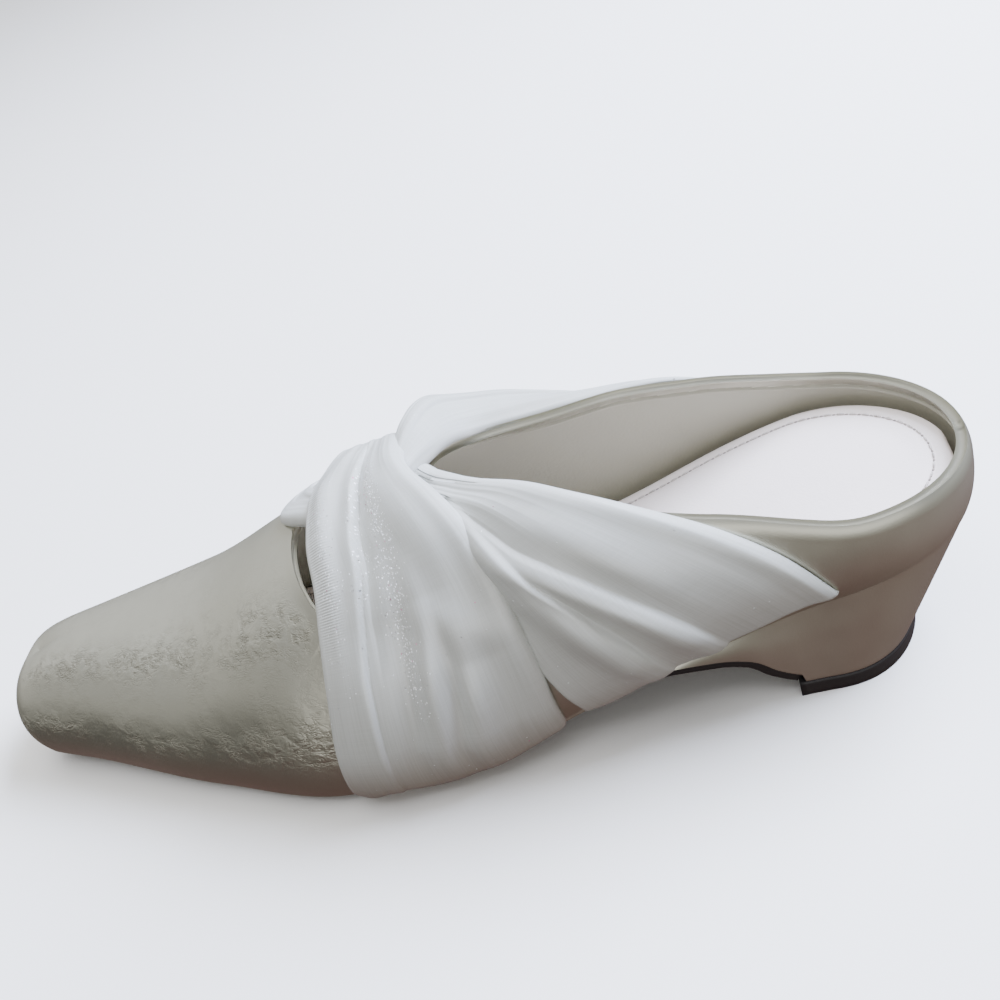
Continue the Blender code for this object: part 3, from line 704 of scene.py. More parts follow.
def pearl_organza():
    """Organza over satin, pearl white: smooth filament yarns laid close, so it shines in soft
    streaks across the folds and lets a little light through; part of it carries glitter."""
    made, tree, shader = new_material(
        "pearl_organza", Anisotropic=0.5, Sheen_Weight=0.12, Sheen_Roughness=0.35
    )
    shader.inputs["Sheen Tint"].default_value = linear(SHEEN_COOL)
    shader.inputs["Subsurface Weight"].default_value = 0.2
    shader.inputs["Subsurface Radius"].default_value = (0.0020, 0.0019, 0.0017)
    cloth = node(tree, "ShaderNodeUVMap", uv_map="cloth").outputs[0]
    tangent = node(tree, "ShaderNodeTangent", direction_type="UV_MAP", uv_map="cloth")
    tree.links.new(tangent.outputs[0], shader.inputs["Tangent"])

    def drawn_out(across, along):
        """Noise on the cloth, drawn out one way: so many spots to a millimetre."""
        vector = node(tree, "ShaderNodeMapping", {"Vector": cloth, "Scale": (across, along, 1.0)})
        inputs = {"Vector": vector.outputs[0], "Scale": 1.0, "Detail": 3.0}
        return node(tree, "ShaderNodeTexNoise", inputs).outputs[0]

    # Yarn streaks 0.4 mm apart and 20 mm long down the strip, with fainter ones across it.
    lengthwise = maths(tree, "MULTIPLY", drawn_out(2.4, 0.05), 0.7)
    crosswise = maths(tree, "MULTIPLY", drawn_out(0.06, 2.8), 0.3)
    woven = maths(tree, "ADD", lengthwise, crosswise)
    shade = node(
        tree,
        "ShaderNodeValToRGB",
        {0: woven},
        stops=[(0.40, linear(ORGANZA_SHADE)), (0.58, linear(ORGANZA_WHITE))],
    ).outputs[0]
    # Painted shade: the cloth's colour turns darker and warmer towards the sole, by height over the
    # floor.
    place = node(tree, "ShaderNodeTexCoord").outputs["Object"]
    height = node(tree, "ShaderNodeSeparateXYZ", {0: place}).outputs[2]
    painted_low_shade = node(
        tree,
        "ShaderNodeValToRGB",
        {0: maths(tree, "MULTIPLY", height, 28.0)},
        stops=[(0.08, linear(ORGANZA_PAINTED_LOW_SHADE)), (0.6, linear(ORGANZA_UNSHADED))],
    ).outputs[0]
    shade = mixed(tree, 1.0, shade, painted_low_shade, blend_type="MULTIPLY")
    # Fine ribs across the pleat beside the knot, 0.6 mm apart.
    ribbed = node(tree, "ShaderNodeAttribute", attribute_name="ribbed").outputs["Fac"]
    down = node(tree, "ShaderNodeSeparateXYZ", {0: cloth}).outputs[1]
    ribs = maths(tree, "SINE", maths(tree, "MULTIPLY", down, 10.5))
    ribs = maths(tree, "MULTIPLY", ribs, ribbed)
    # Glitter: flakes of about 0.4 mm, coarser than real ones so that they show, each tipped its
    # own way, where the attribute says so.
    band = node(tree, "ShaderNodeAttribute", attribute_name="glitter").outputs["Fac"]
    cells = node(tree, "ShaderNodeTexVoronoi", {"Vector": cloth, "Scale": 1.8})
    chance = node(tree, "ShaderNodeSeparateColor", {0: cells.outputs["Color"]})
    small = maths(tree, "LESS_THAN", cells.outputs["Distance"], 0.36)
    flake = maths(tree, "LESS_THAN", chance.outputs[0], band)
    flake = maths(tree, "MULTIPLY", small, flake)
    pink = maths(tree, "LESS_THAN", chance.outputs[1], 0.03)
    flake_colour = mixed(tree, pink, linear(GLITTER_SILVER), linear(GLITTER_PINK))
    tree.links.new(mixed(tree, flake, shade, flake_colour), shader.inputs["Base Color"])
    rough = node(tree, "ShaderNodeMapRange", {0: flake, 3: 0.36, 4: 0.15})
    tree.links.new(rough.outputs[0], shader.inputs["Roughness"])
    metal = node(tree, "ShaderNodeMapRange", {0: flake, 3: 0.2, 4: 0.0})
    tree.links.new(metal.outputs[0], shader.inputs["Metallic"])
    weave = node(tree, "ShaderNodeBump", {"Height": woven, "Distance": 0.00003, "Strength": 0.25})
    inputs = {"Height": ribs, "Distance": 0.00006, "Strength": 0.7, "Normal": weave.outputs[0]}
    smooth_normal = node(tree, "ShaderNodeBump", inputs).outputs[0]
    tip = node(
        tree,
        "ShaderNodeVectorMath",
        {0: cells.outputs["Color"], 1: (1.2, 1.2, 1.2), 2: (-0.6, -0.6, -0.6)},
        operation="MULTIPLY_ADD",
    ).outputs[0]
    tip = node(tree, "ShaderNodeVectorMath", {0: tip, 3: flake}, operation="SCALE").outputs[0]
    tipped = node(tree, "ShaderNodeVectorMath", {0: smooth_normal, 1: tip}, operation="ADD")
    tipped = node(tree, "ShaderNodeVectorMath", {0: tipped.outputs[0]}, operation="NORMALIZE")
    tree.links.new(tipped.outputs[0], shader.inputs["Normal"])
    return made


LEATHER = crackled_leather()
LINING = soft_leather("coated_lining_leather", LINING_BEIGE, 0.5, 1500.0)
SOCK = soft_leather("coated_sock_leather", SOCK_WHITE, 0.45, 1800.0)
THREAD_FINISH, HOLE_SHADE_FINISH = sewing_thread(), shaded_needle_hole()
RUBBER = sole_rubber()
ORGANZA = pearl_organza()


# ---------------------------------------------------------------------------
# Upper: leather outside and over the rim, lining inside
# ---------------------------------------------------------------------------


def nearest(points, line):
    """The distance from each point of a grid to the nearest point of a line, row by row."""
    return np.stack([np.linalg.norm(row[:, None] - line[None], axis=-1).min(1) for row in points])


def back_creasing(from_back):
    """How creased the leather is about the seam up the back, out to 12 mm from it."""
    return np.clip(1.1 * bell(from_back, 9) - 0.2, 0, 1)


def creasing(along, angle):
    """How creased the leather is: most in two bands along either flank of the vamp, where it
    turns from the top to the side and again above the sole, and hardly at all elsewhere."""
    high = bell(angle - np.interp(along, (-110, -50, -13), (25, 30, 36)), 9)
    low = bell(angle - np.interp(along, (-100, -20), (64, 72)), 7)
    return (0.12 + 0.88 * high + 0.7 * low) * (1 - soft_step(along, -12, 4))


def make_upper():
    """Two half sheets, lateral and medial, from the lasting margin up the wall to the opening,
    outside and inside; and along the opening a half-round rim that joins them."""
    end = CUTOUT["along"][-1]
    throat = THROAT + (end - THROAT) * np.linspace(0, 1, 56) ** 1.9
    along = np.r_[
        toe_stations(26),
        np.linspace(-107, -36, 62),
        np.linspace(-35, THROAT - 0.6, 22),
        throat,
        np.linspace(end + 1, 88.5, 66),
        heel_stations(40),
    ]
    first = int(np.argmax(along >= THROAT))
    sides = (LATERAL, MEDIAL)
    even = np.linspace(0, 1, 56)
    both_ends = even**1.5 * (1 - even) + (1 - (1 - even) ** 1.6) * even
    share = {"out": both_ends, "in": np.linspace(0, 1, 76) ** 1.9}
    turn = {}
    for side in sides:
        edge = side * (90 - opening_angle(along))[:, None]
        for face in share:
            turn[side, face] = edge + (side * 90 - edge) * share[face]
    rows = along[:, None]
    edge_line = np.concatenate(
        [over_ridge(along[first:], turn[side, "out"][first:, 0]) for side in sides]
    )
    grids, depth = {}, {}
    for side in sides:
        for face in share:
            bare, normal = over_ridge(rows, turn[side, face]), outwards(rows, turn[side, face])
            away = nearest(bare, edge_line)
            swell = RIM_SWELL * bell(away, RIM_REACH)
            lean = COLLAR_LEAN * np.clip(1 - away / COLLAR_REACH[face], 0, 1) ** 2
            lean = lean * soft_step(rows, *LEAN_GROWS)
            if face == "out":
                height = swell - lean
            else:
                groove = GROOVE_DEPTH * bell(away - LINING_EDGE, GROOVE_REACH)
                piping = PIPING_HEIGHT * bell(away - LINING_EDGE - PIPING_BELOW, PIPING_REACH)
                height = -(WALL + swell * 0.8 - groove + piping + lean)
            grids[side, face] = bare + normal * height[..., None]
            depth[side, face] = away
    for face in share:
        for row in (0, -1):
            grids[MEDIAL, face][row] = grids[LATERAL, face][row]

    points, faces, slots, seam, worn = [], [], [], [], []
    count = 0

    def add(grid, back_seam, slot, flip, crease=0.0):
        nonlocal count
        shape = grid.shape[:2]
        points.append(grid.reshape(-1, 3))
        faces.append(quads(*shape, start=count, flip=flip))
        slots.append(np.broadcast_to(slot, (shape[0] - 1, shape[1] - 1)).ravel())
        seam.append(np.broadcast_to(back_seam, shape).ravel())
        worn.append(np.broadcast_to(crease, shape).ravel())
        count += shape[0] * shape[1]

    for side in sides:
        for face in share:
            grid = grids[side, face]
            from_back = np.linalg.norm(grid - grid[-1:], axis=-1)
            if face == "out":
                slot = 0
                crease = creasing(rows, np.abs(turn[side, face])) * soft_step(depth[side, face], 1, 5)
                crease = crease + back_creasing(from_back)
            else:
                crease = 0.0
                slot = (depth[side, face][:-1, :-1] > LINING_EDGE).astype(int)
                from_back = from_back * 0 + 9
            add(grid, from_back, slot, (side == MEDIAL) == (face == "out"), crease)
        plan = feather(along, side, LASTING_MARGIN)
        base = smooth(plan[:, 0], LAST, "feather")
        inner_edge = [np.c_[plan, base], np.c_[plan, base + WALL]]
        margin = np.stack([grids[side, "out"][:, -1], *inner_edge, grids[side, "in"][:, -1]], 1)
        for row in (0, -1):
            margin[row, 1:3, 1] = (grids[LATERAL, "out"][row, -1, 1],) * 2
        add(margin, 9, 0, flip=side == MEDIAL)
        outer, inner = grids[side, "out"][first:, 0], grids[side, "in"][first:, 0]
        heading = np.gradient(over_ridge(along[first:], turn[side, "out"][first:, 0]), axis=0)
        if side == LATERAL:
            heading = -heading
        half = (outer - inner) / 2
        lift = unit(np.cross(half, heading))
        lift[0, 1] = 0
        lift[-1, 1] = 0
        lift = unit(lift)
        around = np.linspace(0, np.pi, 11)[:, None]
        size = np.linalg.norm(half, axis=-1, keepdims=True)
        rim = (outer + inner)[:, None] / 2 + half[:, None] * np.cos(around)
        rim = rim + (lift * size)[:, None] * np.sin(around)
        from_back = np.linalg.norm(rim - rim[-1:], axis=-1)
        add(rim, from_back, 0, flip=side == LATERAL)
    upper = make_piece(
        "upper_shell",
        np.concatenate(points),
        np.concatenate(faces),
        [LEATHER, LINING],
        slots=np.concatenate(slots),
        values={
            "from_back_seam": np.clip(np.concatenate(seam) / 2, 0, 1),
            "creased": np.concatenate(worn),
        },
    )
    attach(sew(upper), "root")
    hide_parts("upper")


# ---------------------------------------------------------------------------
# Insole with its stitched sock
# ---------------------------------------------------------------------------


def sock_height(along):
    return smooth(along, INSOLE_TOP, "height")


def stitch_line():
    """The line of the stitches in plan, up the lateral side, round the heel and back."""
    along = np.r_[np.linspace(-96, 88, 400), heel_stations(120)]
    left, right = (feather(along, side, STITCH_INSET) for side in (LATERAL, MEDIAL))
    return np.concatenate([left, right[::-1]])


def make_insole():
    """A pad that fills the outline inside the wall: its upper edge is a quarter round."""
    along = np.r_[toe_stations(24)[1:], np.linspace(-107, 88, 90), heel_stations(30)[1:-1]]
    left, right = (feather(along, side, SOCK_INSET) for side in (LATERAL, MEDIAL))
    across = (1 - np.cos(np.linspace(0, np.pi, 81))) / 2
    plan = left[:, None] + (right - left)[:, None] * across[:, None]
    in_from_side = np.minimum(across, 1 - across) * np.linalg.norm(right - left, axis=-1)[:, None]
    to_tip = np.minimum(along - TOE, HEEL - along)[:, None] * np.ones(len(across))
    inward = np.clip(np.minimum(in_from_side, to_tip * 1.3) / SOCK_EDGE, 0, 1)
    drop = SOCK_EDGE * (1 - np.sqrt(1 - (1 - inward) ** 2))
    channel = CHANNEL_DEPTH * bell(nearest(plan, stitch_line()), CHANNEL_REACH)
    top = sock_height(plan[..., 0]) - drop - channel
    bottom = smooth(plan[:, [0, -1], 0], LAST, "feather") + WALL + INSOLE_GAP
    lower = np.concatenate([plan[:, [-1, 0]], bottom[:, ::-1, None]], -1)
    upper = np.concatenate([plan, top[..., None]], -1)
    pad = loop_piece("sock_pad", np.concatenate([upper, lower], 1), [SOCK])
    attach(pad, "root")
    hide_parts("insole")


def capsules(name, line, run, start, length, radius, sunk, finish):
    """A row of small capsules laid along a line, at these places along its run: the radius of
    each follows a squared circle to nothing at its ends."""
    along_it = np.linspace(-0.5, 0.5, 7)
    at = start[:, None] + along_it * length
    centre = np.stack([np.interp(at, run, line[:, k]) for k in (0, 1)], -1)
    height = sock_height(centre[..., 0]) - sunk + 0.12 * bell(along_it, 0.35)
    centre = np.concatenate([centre, height[..., None]], -1)
    heading = unit(np.gradient(centre, axis=1))
    aside = unit(np.cross(heading, [0.0, 0.0, 1.0]))
    up = np.cross(aside, heading)
    size = radius * np.sqrt(np.clip(1 - (2 * along_it) ** 4, 0.02, 1))[:, None, None]
    around = np.linspace(0, 2 * np.pi, 7)[:-1, None]
    tube = centre[:, :, None] + size * (
        aside[:, :, None] * np.cos(around) + up[:, :, None] * np.sin(around)
    )
    ends = np.repeat(centre[:, [0, -1], None], 6, axis=2)
    tube = np.concatenate([ends[:, :1], tube, ends[:, 1:]], 1)
    rings = tube.shape[1]
    faces = quads(rings, 6, wrap=True)
    faces = (faces[None] + (np.arange(len(start)) * rings * 6)[:, None, None]).reshape(-1, 4)
    piece = sew(make_piece(name, tube, faces, [finish]), within=0.001)
    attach(piece, "root")


def make_stitches():
    """A row of stitches just inside the sock's edge, and between them their needle holes."""
    line = stitch_line()
    run = np.r_[0, np.cumsum(np.linalg.norm(np.diff(line, axis=0), axis=1))]
    start = (np.arange(int(run[-1] / STITCH_PITCH)) + 0.5) * STITCH_PITCH
    stitch = STITCH_LENGTH, THREAD / 2, STITCH_SUNK, THREAD_FINISH
    capsules("sock_stitches", line, run, start, *stitch)
    # Between the stitches, dark capsules stand for the needle holes: painted shade for their hollows.
    between = start[:-1] + STITCH_PITCH / 2
    hole = STITCH_PITCH - STITCH_LENGTH, HOLE_RADIUS, HOLE_SUNK, HOLE_SHADE_FINISH
    capsules("needle_holes", line, run, between, *hole)


# ---------------------------------------------------------------------------
# Sole unit: outsole, covered wedge and top lift
# ---------------------------------------------------------------------------


def sole_path(count):
    """The underside in side view, from toe to breast, with its upward normal: (x, z) pairs at
    even steps along it."""
    corners = np.stack([UNDERSIDE["along"], UNDERSIDE["height"]], -1)
    run = np.r_[0, np.cumsum(np.linalg.norm(np.diff(corners, axis=0), axis=1))]
    curve = {"along": run, "x": corners[:, 0], "z": corners[:, 1]}
    at = np.linspace(0, run[-1], count)
    points = np.stack([smooth(at, curve, "x"), smooth(at, curve, "z")], -1)
    heading = np.gradient(points, axis=0)
    return points, unit(np.stack([-heading[:, 1], heading[:, 0]], -1))


def sole_layers(count):
    """The outsole's lower and upper lines in side view, and the wedge's lower line. Under the
    ball the outsole's top meets the upper; behind it the top runs parallel to the underside."""
    lower, normal = sole_path(count)
    meets = smooth(lower[:, 0], LAST, "feather") - SEAM_GAP - lower[:, 1]
    behind = np.interp(lower[:, 0], OUTSOLE_FAIRING, (0, 1))
    thickness = (meets * (1 - behind) + OUTSOLE_THICKNESS * behind)[:, None]
    return lower, lower + normal * thickness, lower + normal * (thickness + SOLE_GAP)


def flare(along):
    """How much wider than the last the sole is: it widens towards the foot of the heel."""
    return np.interp(along, (FLARE_FROM, FLARE_TO), (1, HEEL_FLARE))


def undercut(along):
    """How much narrower the outsole is below than above: only in front of the arch."""
    return 1 - np.interp(along, (UNDERCUT_FROM, UNDERCUT_TO), (UNDERCUT, 0))


def sides_of(line, along, inset, taper=1.0):
    """The lateral and medial points for each (x, z) of a line, as wide as the last there."""
    left, right = (feather(along, side, inset)[:, 1] for side in (LATERAL, MEDIAL))
    middle, half = (left + right) / 2, (right - left) / 2 * taper
    return [np.stack([line[:, 0], middle + s * half, line[:, 1]], -1) for s in (LATERAL, MEDIAL)]


def band(low, high, bulge, steps, bevel):
    """Rings of points round a slab: up the lateral side from low to high and down the medial
    side, each side with a slight bulge and a small bevel at its ends, near which the points
    lie closer. Where the slab is thin or narrow, both are smaller."""
    t = np.r_[0, (1 - np.cos(np.linspace(0, np.pi, steps))) / 2, 1]
    tall = np.linalg.norm(high[0] - low[0], axis=-1)[:, None]
    out = np.minimum(bulge, BULGE_SHARE * tall) * np.sin(np.pi * t)
    out[:, [0, -1]] = -np.minimum(bevel, BEVEL_SHARE * tall)
    out = out * np.clip((high[1] - high[0])[:, 1:2] / NARROW_SLAB, 0, 1)
    rings = []
    for k, side in ((0, LATERAL), (1, MEDIAL)):
        wall = low[k][:, None] + (high[k] - low[k])[:, None] * t[:, None]
        wall[..., 1] += side * out
        rings.append(wall if side == LATERAL else wall[:, ::-1])
    return np.concatenate(rings, 1)


def make_outsole():
    lower, upper, _ = sole_layers(260)
    round_toe = toe_stations(20)[1:-1]
    flat = lower[:, 0] > TOE + TOE_RADIUS
    height = np.interp(round_toe, lower[:, 0], lower[:, 1])
    nose = np.stack([feather(round_toe, LATERAL, OUTSOLE_INSET)[:, 0], height], -1)
    top = np.stack([nose[:, 0], smooth(round_toe, LAST, "feather") - SEAM_GAP], -1)
    along = np.r_[round_toe, lower[flat, 0]]
    taper = flare(along) * (1 - WAIST_IN * bell(along - WAIST_AT, WAIST_REACH))
    low = sides_of(np.r_[nose, lower[flat]], along, OUTSOLE_INSET, taper * undercut(along))
    high = sides_of(np.r_[top, upper[flat]], along, OUTSOLE_INSET, taper)
    outsole = loop_piece("rubber_outsole", band(low, high, SOLE_BULGE, 5, SOLE_BEVEL), [RUBBER])
    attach(outsole, "root")
    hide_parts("outsole")


def heel_foot(along):
    """Where a station of the heel's outline comes down on the top lift."""
    return along - HEEL_LEAN * np.clip((along - HEEL_SEAT) / (HEEL - HEEL_SEAT), 0, 1) ** 1.2


def heel_seat():
    return np.r_[np.linspace(HEEL_SEAT, 88.8, 8), heel_stations(40)]


def make_heel_wedge():
    _, _, line = sole_layers(260)
    line = line[(line[:, 0] > WEDGE_FRONT) & (line[:, 0] < HEEL_SEAT - 0.4)]
    seat = heel_seat()
    along = np.r_[line[:, 0], seat]
    foot = np.r_[line, np.stack([heel_foot(seat), seat * 0 + LIFT_THICKNESS + SOLE_GAP], -1)]
    head_x = feather(along, LATERAL)[:, 0]
    head = np.stack([head_x, smooth(head_x, LAST, "feather") - SEAM_GAP], -1)
    low = sides_of(foot, along, WEDGE_INSET, flare(along))
    high = sides_of(head, along, WEDGE_INSET)
    rings = band(low, high, WEDGE_BULGE, 14, WEDGE_BEVEL)
    from_back = np.linalg.norm(rings - rings[-1:], axis=-1)
    values = {
        "from_back_seam": np.clip(from_back / 2, 0, 1),
        "creased": back_creasing(from_back),
    }
    wedge = loop_piece("covered_wedge", rings, [LEATHER], values=values)
    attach(wedge, "root")
    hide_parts("heel_wedge")


def make_top_lift():
    seat = heel_seat()
    along, plan_x = np.r_[LIFT_FRONT, seat], np.r_[LIFT_FRONT, heel_foot(seat)]
    low, high = (
        sides_of(np.stack([plan_x, plan_x * 0 + z], -1), along, LIFT_INSET, flare(along))
        for z in (0, LIFT_THICKNESS)
    )
    rings = band(low, high, LIFT_BULGE, 4, LIFT_BEVEL)
    lift = loop_piece("rubber_top_lift", rings, [RUBBER])
    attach(lift, "root")
    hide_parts("top_lift")


# ---------------------------------------------------------------------------
# Ribbon
# ---------------------------------------------------------------------------


def fold_heights(folds, row, share, width):
    """The height of a strip's folds over its middle surface. Each fold falls away from its
    line as a bell, whose reach differs from one side to the other. A lapped fold is highest
    some way before its line, and drops sharply behind it."""
    height = np.zeros((len(row), len(share)))
    for places, before, after, *lapped in folds:
        peak = lapped[0] if lapped else 0.0
        line = dict(zip(("row", "share", "height"), np.array(places, float).T))
        first, last = line["row"][[0, -1]]
        here = soft_step(row, first - 1.2, first) * (1 - soft_step(row, last, last + 1.2))
        top = smooth(row, line, "height", key="row") * here
        aside = (share - smooth(row, line, "share", key="row")[:, None]) * width[:, None]
        front, edge = bell(aside + peak, before), bell(peak, before)
        height += top[:, None] * np.where(aside < 0, front, edge * bell(aside, after))
    return height


def gathers(row, share, pull):
    """Fine creases that run out of the knot: three broad and seven fine sharpened waves across
    the strip, each set a bit askew, that fade with the distance from the gathered neck."""
    height = np.zeros((len(row), len(share)))
    for waves, depth in ((3, 0.22), (7, 0.08)):
        phase, slant = RANDOM.uniform(0, 1), RANDOM.uniform(-0.02, 0.02)
        wave = share * waves + phase + slant * waves * row[:, None] / 4
        height += depth * (1 - 2 * np.abs(np.sin(np.pi * wave)) ** 0.8)
    return height * pull[:, None]


def rolled(middle, inward, radius, last_angle, count, at_end, drop=0.0):
    """Rows of points that carry a sheet on past its first or last row: straight on by the drop,
    then along an arc of a circle that turns inwards, to the last angle."""
    end, before = (-1, -2) if at_end else (0, 1)
    away = unit(middle[end] - middle[before])
    arc = np.linspace(0, math.radians(last_angle), count + 1)[1:, None, None]
    straight = np.asarray(drop) * np.minimum(arc / arc[2], 1)
    rows = middle[end] + (straight + radius * np.sin(arc)) * away
    rows = rows + radius * (1 - np.cos(arc)) * inward[end]
    return rows if at_end else rows[::-1]


def make_ribbon(name, node_name, rows, folds, hems, finish, steps):
    """A strip of cloth: its sections are read smoothly between the rows, it is thrown into its
    folds, its long edges roll inwards, its ends curl in under the feather edge, and it is given
    its thickness. The flat size is a declared one, smaller than the strip that is made here."""
    last = len(rows["along_a"]) - 1
    row = np.linspace(0, last, steps)
    share = np.linspace(0, 1, 141)
    index = np.arange(last + 1, dtype=float)
    read = {key: smooth(row, {"row": index, key: v}, key, key="row") for key, v in rows.items()}

    def between(quantity):
        a, b = read[quantity + "_a"][:, None], read[quantity + "_b"][:, None]
        return a + (b - a) * share

    along, turn = between("along"), between("angle")
    out = between("out") + 4 * share * (1 - share) * read["puff"][:, None]
    away = outwards(along, turn)
    middle = over_ridge(along, turn) + away * out[..., None]
    width = np.linalg.norm(np.diff(middle, axis=1), axis=-1).sum(1)
    neck = soft_step(width, *GATHER_WIDTH)
    pull = 1 - soft_step(width, *PULL_WIDTH)
    normal = unit(np.cross(np.gradient(middle, axis=0), np.gradient(middle, axis=1)))
    # The strip turns over where it hooks round the knot: its outer face is the other one there.
    facing = (normal * away).sum(-1).mean(1)
    normal = normal * np.clip(facing * 3, -1, 1)[:, None, None]
    height = fold_heights(folds, row, share, width) * (1 - NECK_FLATTENS * neck)[:, None]
    height = height + PULL_DEPTH * gathers(row, share, pull) - FOLD_SINK
    middle = middle + normal * height[..., None]

    # The long edges roll in, then the ends curl round the feather edge.
    less = BACK_HEM_ROLL * soft_step(row, last - 2.5, last)
    roll = EDGE_ROLL * (1 + NECK_ROLL * neck - less)[:, None]
    turned = np.swapaxes(middle, 0, 1), -np.swapaxes(normal, 0, 1)
    edges = [rolled(*turned, roll, EDGE_ANGLE, EDGE_ROWS, at_end) for at_end in (False, True)]
    middle = np.concatenate([np.swapaxes(e, 0, 1) for e in (edges[0], turned[0], edges[1])], 1)
    inward = -np.pad(normal, ((0, 0), (EDGE_ROWS, EDGE_ROWS), (0, 0)), mode="edge")
    all_share = np.pad(share, EDGE_ROWS, mode="edge")
    drops = [smooth(all_share, hem, "drop", key="share")[:, None] for hem in hems]
    ends = [
        rolled(middle, inward, HEM_CURL, HEM_ANGLE, HEM_ROWS, bool(k), drops[k]) for k in (0, 1)
    ]
    middle = np.concatenate([ends[0], middle, ends[1]])

    normal = unit(np.cross(np.gradient(middle, axis=0), np.gradient(middle, axis=1)))
    half = np.pad(CLOTH + (GATHERED_CLOTH - CLOTH) * neck, HEM_ROWS, mode="edge")[:, None] / 2
    run = np.linalg.norm(np.diff(middle[:, middle.shape[1] // 2], axis=0), axis=-1)
    run = np.r_[0, np.cumsum(run)][:, None]
    beyond = np.arange(1, EDGE_ROWS + 1) * EDGE_ROLL * math.radians(EDGE_ANGLE) / EDGE_ROWS
    across = np.r_[-beyond[::-1] / width.max(), share, 1 + beyond / width.max()]
    half = half * np.sqrt(np.clip((across - across[0]) * (across[-1] - across) * 90, 0.1, 1))
    tip = np.minimum(np.arange(len(half)), np.arange(len(half))[::-1])[:, None] / HEM_ROWS
    half = half * np.clip(0.3 + tip, 0, 1)
    sheets = [middle + normal * half[..., None], (middle - normal * half[..., None])[:, ::-1]]
    rings = np.concatenate(sheets, 1)
    across = np.r_[across, across[::-1]]
    uv = np.stack([across * width.max() + run * 0, run + across * 0], -1)
    values = finish(np.pad(row, HEM_ROWS, mode="edge")[:, None], across)
    caps = [np.broadcast_to(ring.mean(0), ring.shape)[None] for ring in (rings[0], rings[-1])]
    solid = np.concatenate([caps[0], rings, caps[1]])
    strip = make_piece(
        name,
        solid,
        quads(len(solid), solid.shape[1], wrap=True),
        [ORGANZA],
        values={key: np.concatenate([v[:1], v, v[-1:]]) for key, v in values.items()},
        uv=np.concatenate([uv[:1], uv, uv[-1:]]),
    )
    sew(strip, within=0.001)
    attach(strip, "root")
    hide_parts(node_name)


def front_finish(row, share):
    """Flakes lie thickest in a band down the front fan, and thinly along its front pleat,
    which is ribbed beside the knot."""
    path = np.interp(row, (1.6, 2.9, 4.0, 4.9, 6.4), (0.45, 0.46, 0.50, 0.58, 0.66))
    spread = np.interp(row, (1.6, 4.0, 6.4), (0.04, 0.08, 0.07))
    core = bell((share - path) / spread, 1) * soft_step(row, 1.2, 2.2)
    second = np.interp(row, (3.5, 4.7, 6.5), (0.28, 0.36, 0.50))
    core = core + 0.6 * bell(share - second, 0.04) * soft_step(row, 3, 4)
    pleat = bell(share - 0.12, 0.07) * soft_step(row, 1.5, 4)
    glitter = (0.95 * core + 0.35 * pleat) * (1 - soft_step(row, 6.2, 7.4)) + 0.004
    ribbed = bell(share - 0.07, 0.07) * soft_step(row, 2.2, 4) * (1 - soft_step(row, 6.4, 7.4))
    return {"glitter": np.clip(glitter, 0, 1), "ribbed": np.clip(ribbed, 0, 1)}


def plain_finish(row, share):
    none = row * 0 + share * 0
    return {"glitter": none + 0.003, "ribbed": none}


# ---------------------------------------------------------------------------
# Stage: floor, light and camera
# ---------------------------------------------------------------------------


def make_floor():
    bpy.ops.mesh.primitive_plane_add(size=4.0)
    floor = bpy.context.object
    floor.name = "studio_floor"
    made, tree, shader = new_material("painted_floor", Roughness=0.75)
    place = node(tree, "ShaderNodeTexCoord").outputs["Object"]
    cloud = node(tree, "ShaderNodeTexNoise", {"Vector": place, "Scale": 3.0, "Detail": 2.0})
    mix = mixed(tree, cloud.outputs[0], linear(FLOOR_WHITE), linear(FLOOR_PALE))
    tree.links.new(mix, shader.inputs["Base Color"])
    floor.data.materials.append(made)
    return floor


def make_light(name, place, target, size, power, colour):
    data = bpy.data.lights.new(name, "AREA")
    data.shape = "RECTANGLE"
    data.size, data.size_y = size
    data.energy = power
    data.color = linear(colour)[:3]
    lamp = bpy.data.objects.new(name, data)
    bpy.context.scene.collection.objects.link(lamp)
    lamp.location = place
    lamp.rotation_euler = (Vector(target) - Vector(place)).to_track_quat("-Z", "Y").to_euler()
    return lamp


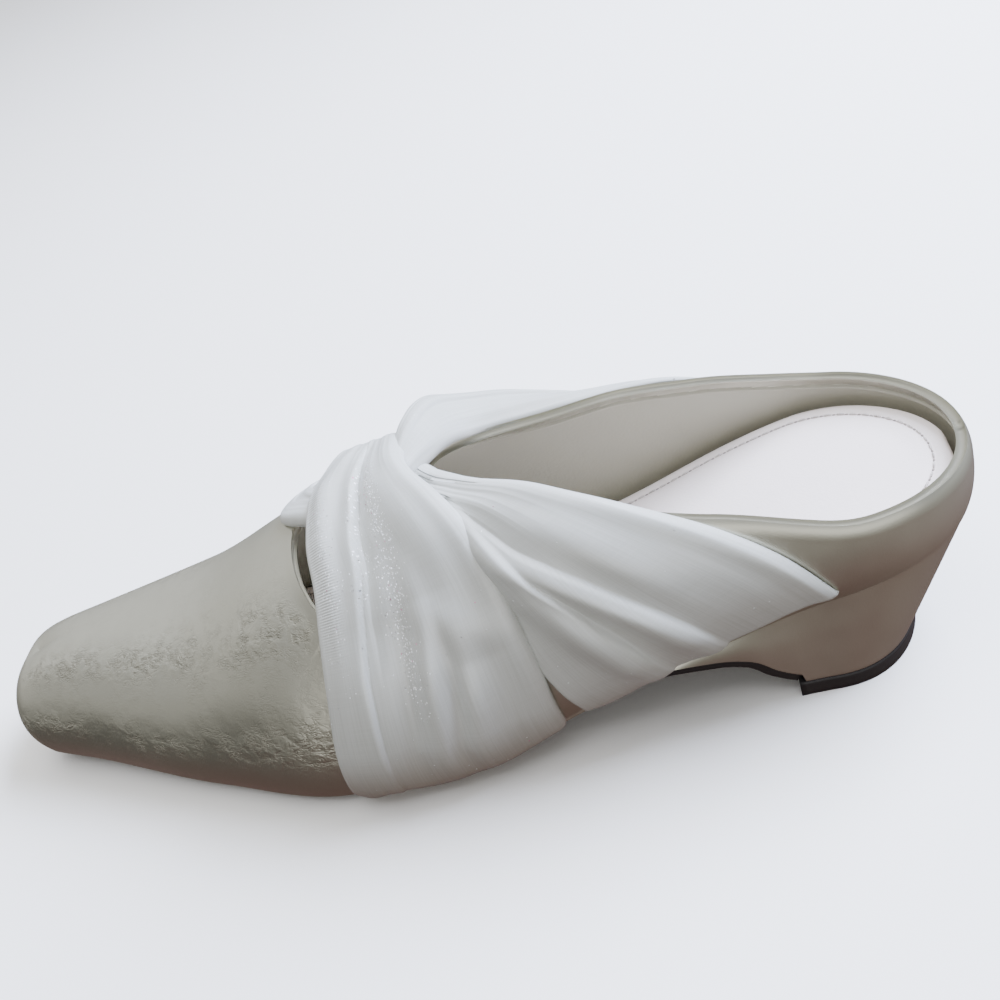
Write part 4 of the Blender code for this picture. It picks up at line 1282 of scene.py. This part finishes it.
def make_world():
    """A soft room, given by direction alone: a warm brown floor, pale walls and ceiling. Below
    the horizon the toe side is dimmed, most straight ahead of the toe, and above it the heel
    side; a patch high on the near toe side is a little dimmed. Light is added from the far toe
    side, from low behind the heel, and from a pale low wall on the near side."""
    world = bpy.data.worlds.new("soft_room")
    bpy.context.scene.world = world
    world.use_nodes = True
    tree = world.node_tree
    place = node(tree, "ShaderNodeTexCoord").outputs["Generated"]
    up = node(tree, "ShaderNodeSeparateXYZ", {0: place}).outputs[2]

    def lobe(direction, low, high):
        """From 0 to 1 as the cosine of the angle to the direction goes from low to high."""
        cosine = node(
            tree, "ShaderNodeVectorMath", {0: place, 1: direction}, operation="DOT_PRODUCT"
        )
        return ramp_of(cosine.outputs["Value"], low, high)

    def ramp_of(value, low, high):
        inputs = {0: value, 1: low, 2: high}
        return node(
            tree, "ShaderNodeMapRange", inputs, interpolation_type="SMOOTHSTEP"
        ).outputs[0]

    def times(first, second):
        return maths(tree, "MULTIPLY", first, second)

    def tinted(colour, kind, share, other):
        return mixed(tree, share, colour, linear(other), blend_type=kind)

    height = node(tree, "ShaderNodeMapRange", {0: up, 1: -1.0, 2: 1.0}).outputs[0]
    sky = node(
        tree,
        "ShaderNodeValToRGB",
        {0: height},
        stops=[(at, linear(code)) for at, code in ROOM],
    ).outputs[0]
    below, above = ramp_of(up, 0.1, -0.25), ramp_of(up, -0.15, 0.1)
    sky = tinted(sky, "MULTIPLY", times(lobe((-0.87, -0.5, 0), 0.1, 1.0), below), "9E9A98")
    sky = tinted(sky, "MULTIPLY", times(lobe((0.94, -0.34, 0), 0.1, 1.0), above), "BEBEBE")
    sky = tinted(sky, "MULTIPLY", times(lobe((-0.98, -0.17, 0), 0.72, 0.97), below), "8C8C8C")
    sky = tinted(sky, "MULTIPLY", lobe((-0.6, -0.5, 0.62), 0.6, 0.98), "C8C8C8")
    sky = tinted(sky, "ADD", lobe((-0.77, 0.6, 0.2), 0.3, 0.95), "4C4C4C")
    sky = tinted(sky, "ADD", lobe((0.785, 0.07, -0.616), 0.6, 0.98), "404040")
    low_wall = times(ramp_of(up, -0.30, -0.05), ramp_of(up, 0.45, 0.2))
    sky = tinted(sky, "ADD", times(lobe((0.2, -0.98, 0), 0.72, 0.92), low_wall), "DEDEE0")
    background = tree.nodes["Background"]
    background.inputs["Strength"].default_value = ROOM_STRENGTH
    tree.links.new(sky, background.inputs["Color"])




def make_camera():
    """Looks at the target from that azimuth and elevation, then rolled about its own axis."""
    turn, tilt, roll = (
        math.radians(a) for a in (CAMERA_AZIMUTH, CAMERA_ELEVATION, CAMERA_ROLL)
    )
    back = Vector(
        (math.sin(turn) * math.cos(tilt), -math.cos(turn) * math.cos(tilt), math.sin(tilt))
    )
    right = Vector((math.cos(turn), math.sin(turn), 0))
    up = back.cross(right)
    x_axis = right * math.cos(roll) + up * math.sin(roll)
    y_axis = up * math.cos(roll) - right * math.sin(roll)
    place = Vector((CAMERA_TARGET - CENTRE) * MM) + back * CAMERA_DISTANCE * MM
    data = bpy.data.cameras.new("camera")
    data.sensor_width, data.lens = 36.0, CAMERA_LENS
    data.clip_start, data.clip_end = 0.01, 20.0
    camera = bpy.data.objects.new("camera", data)
    bpy.context.scene.collection.objects.link(camera)
    turned = Matrix((x_axis, y_axis, back)).transposed().to_4x4()
    camera.matrix_world = Matrix.Translation(place) @ turned
    bpy.context.scene.camera = camera


make_upper()
make_insole()
make_stitches()
make_outsole()
make_heel_wedge()
make_top_lift()
make_ribbon(
    "outer_ribbon",
    "wrap_outer",
    RIBBON_OUTER,
    OUTER_FOLDS,
    OUTER_HEMS,
    front_finish,
    steps=300,
)
make_ribbon(
    "inner_ribbon",
    "wrap_inner",
    RIBBON_INNER,
    INNER_FOLDS,
    INNER_HEMS,
    plain_finish,
    steps=280,
)
floor = make_floor()
floor.visible_glossy = False
floor.visible_diffuse = False
make_world()
for lamp in LAMPS:
    make_light(*lamp).visible_glossy = False
make_camera()
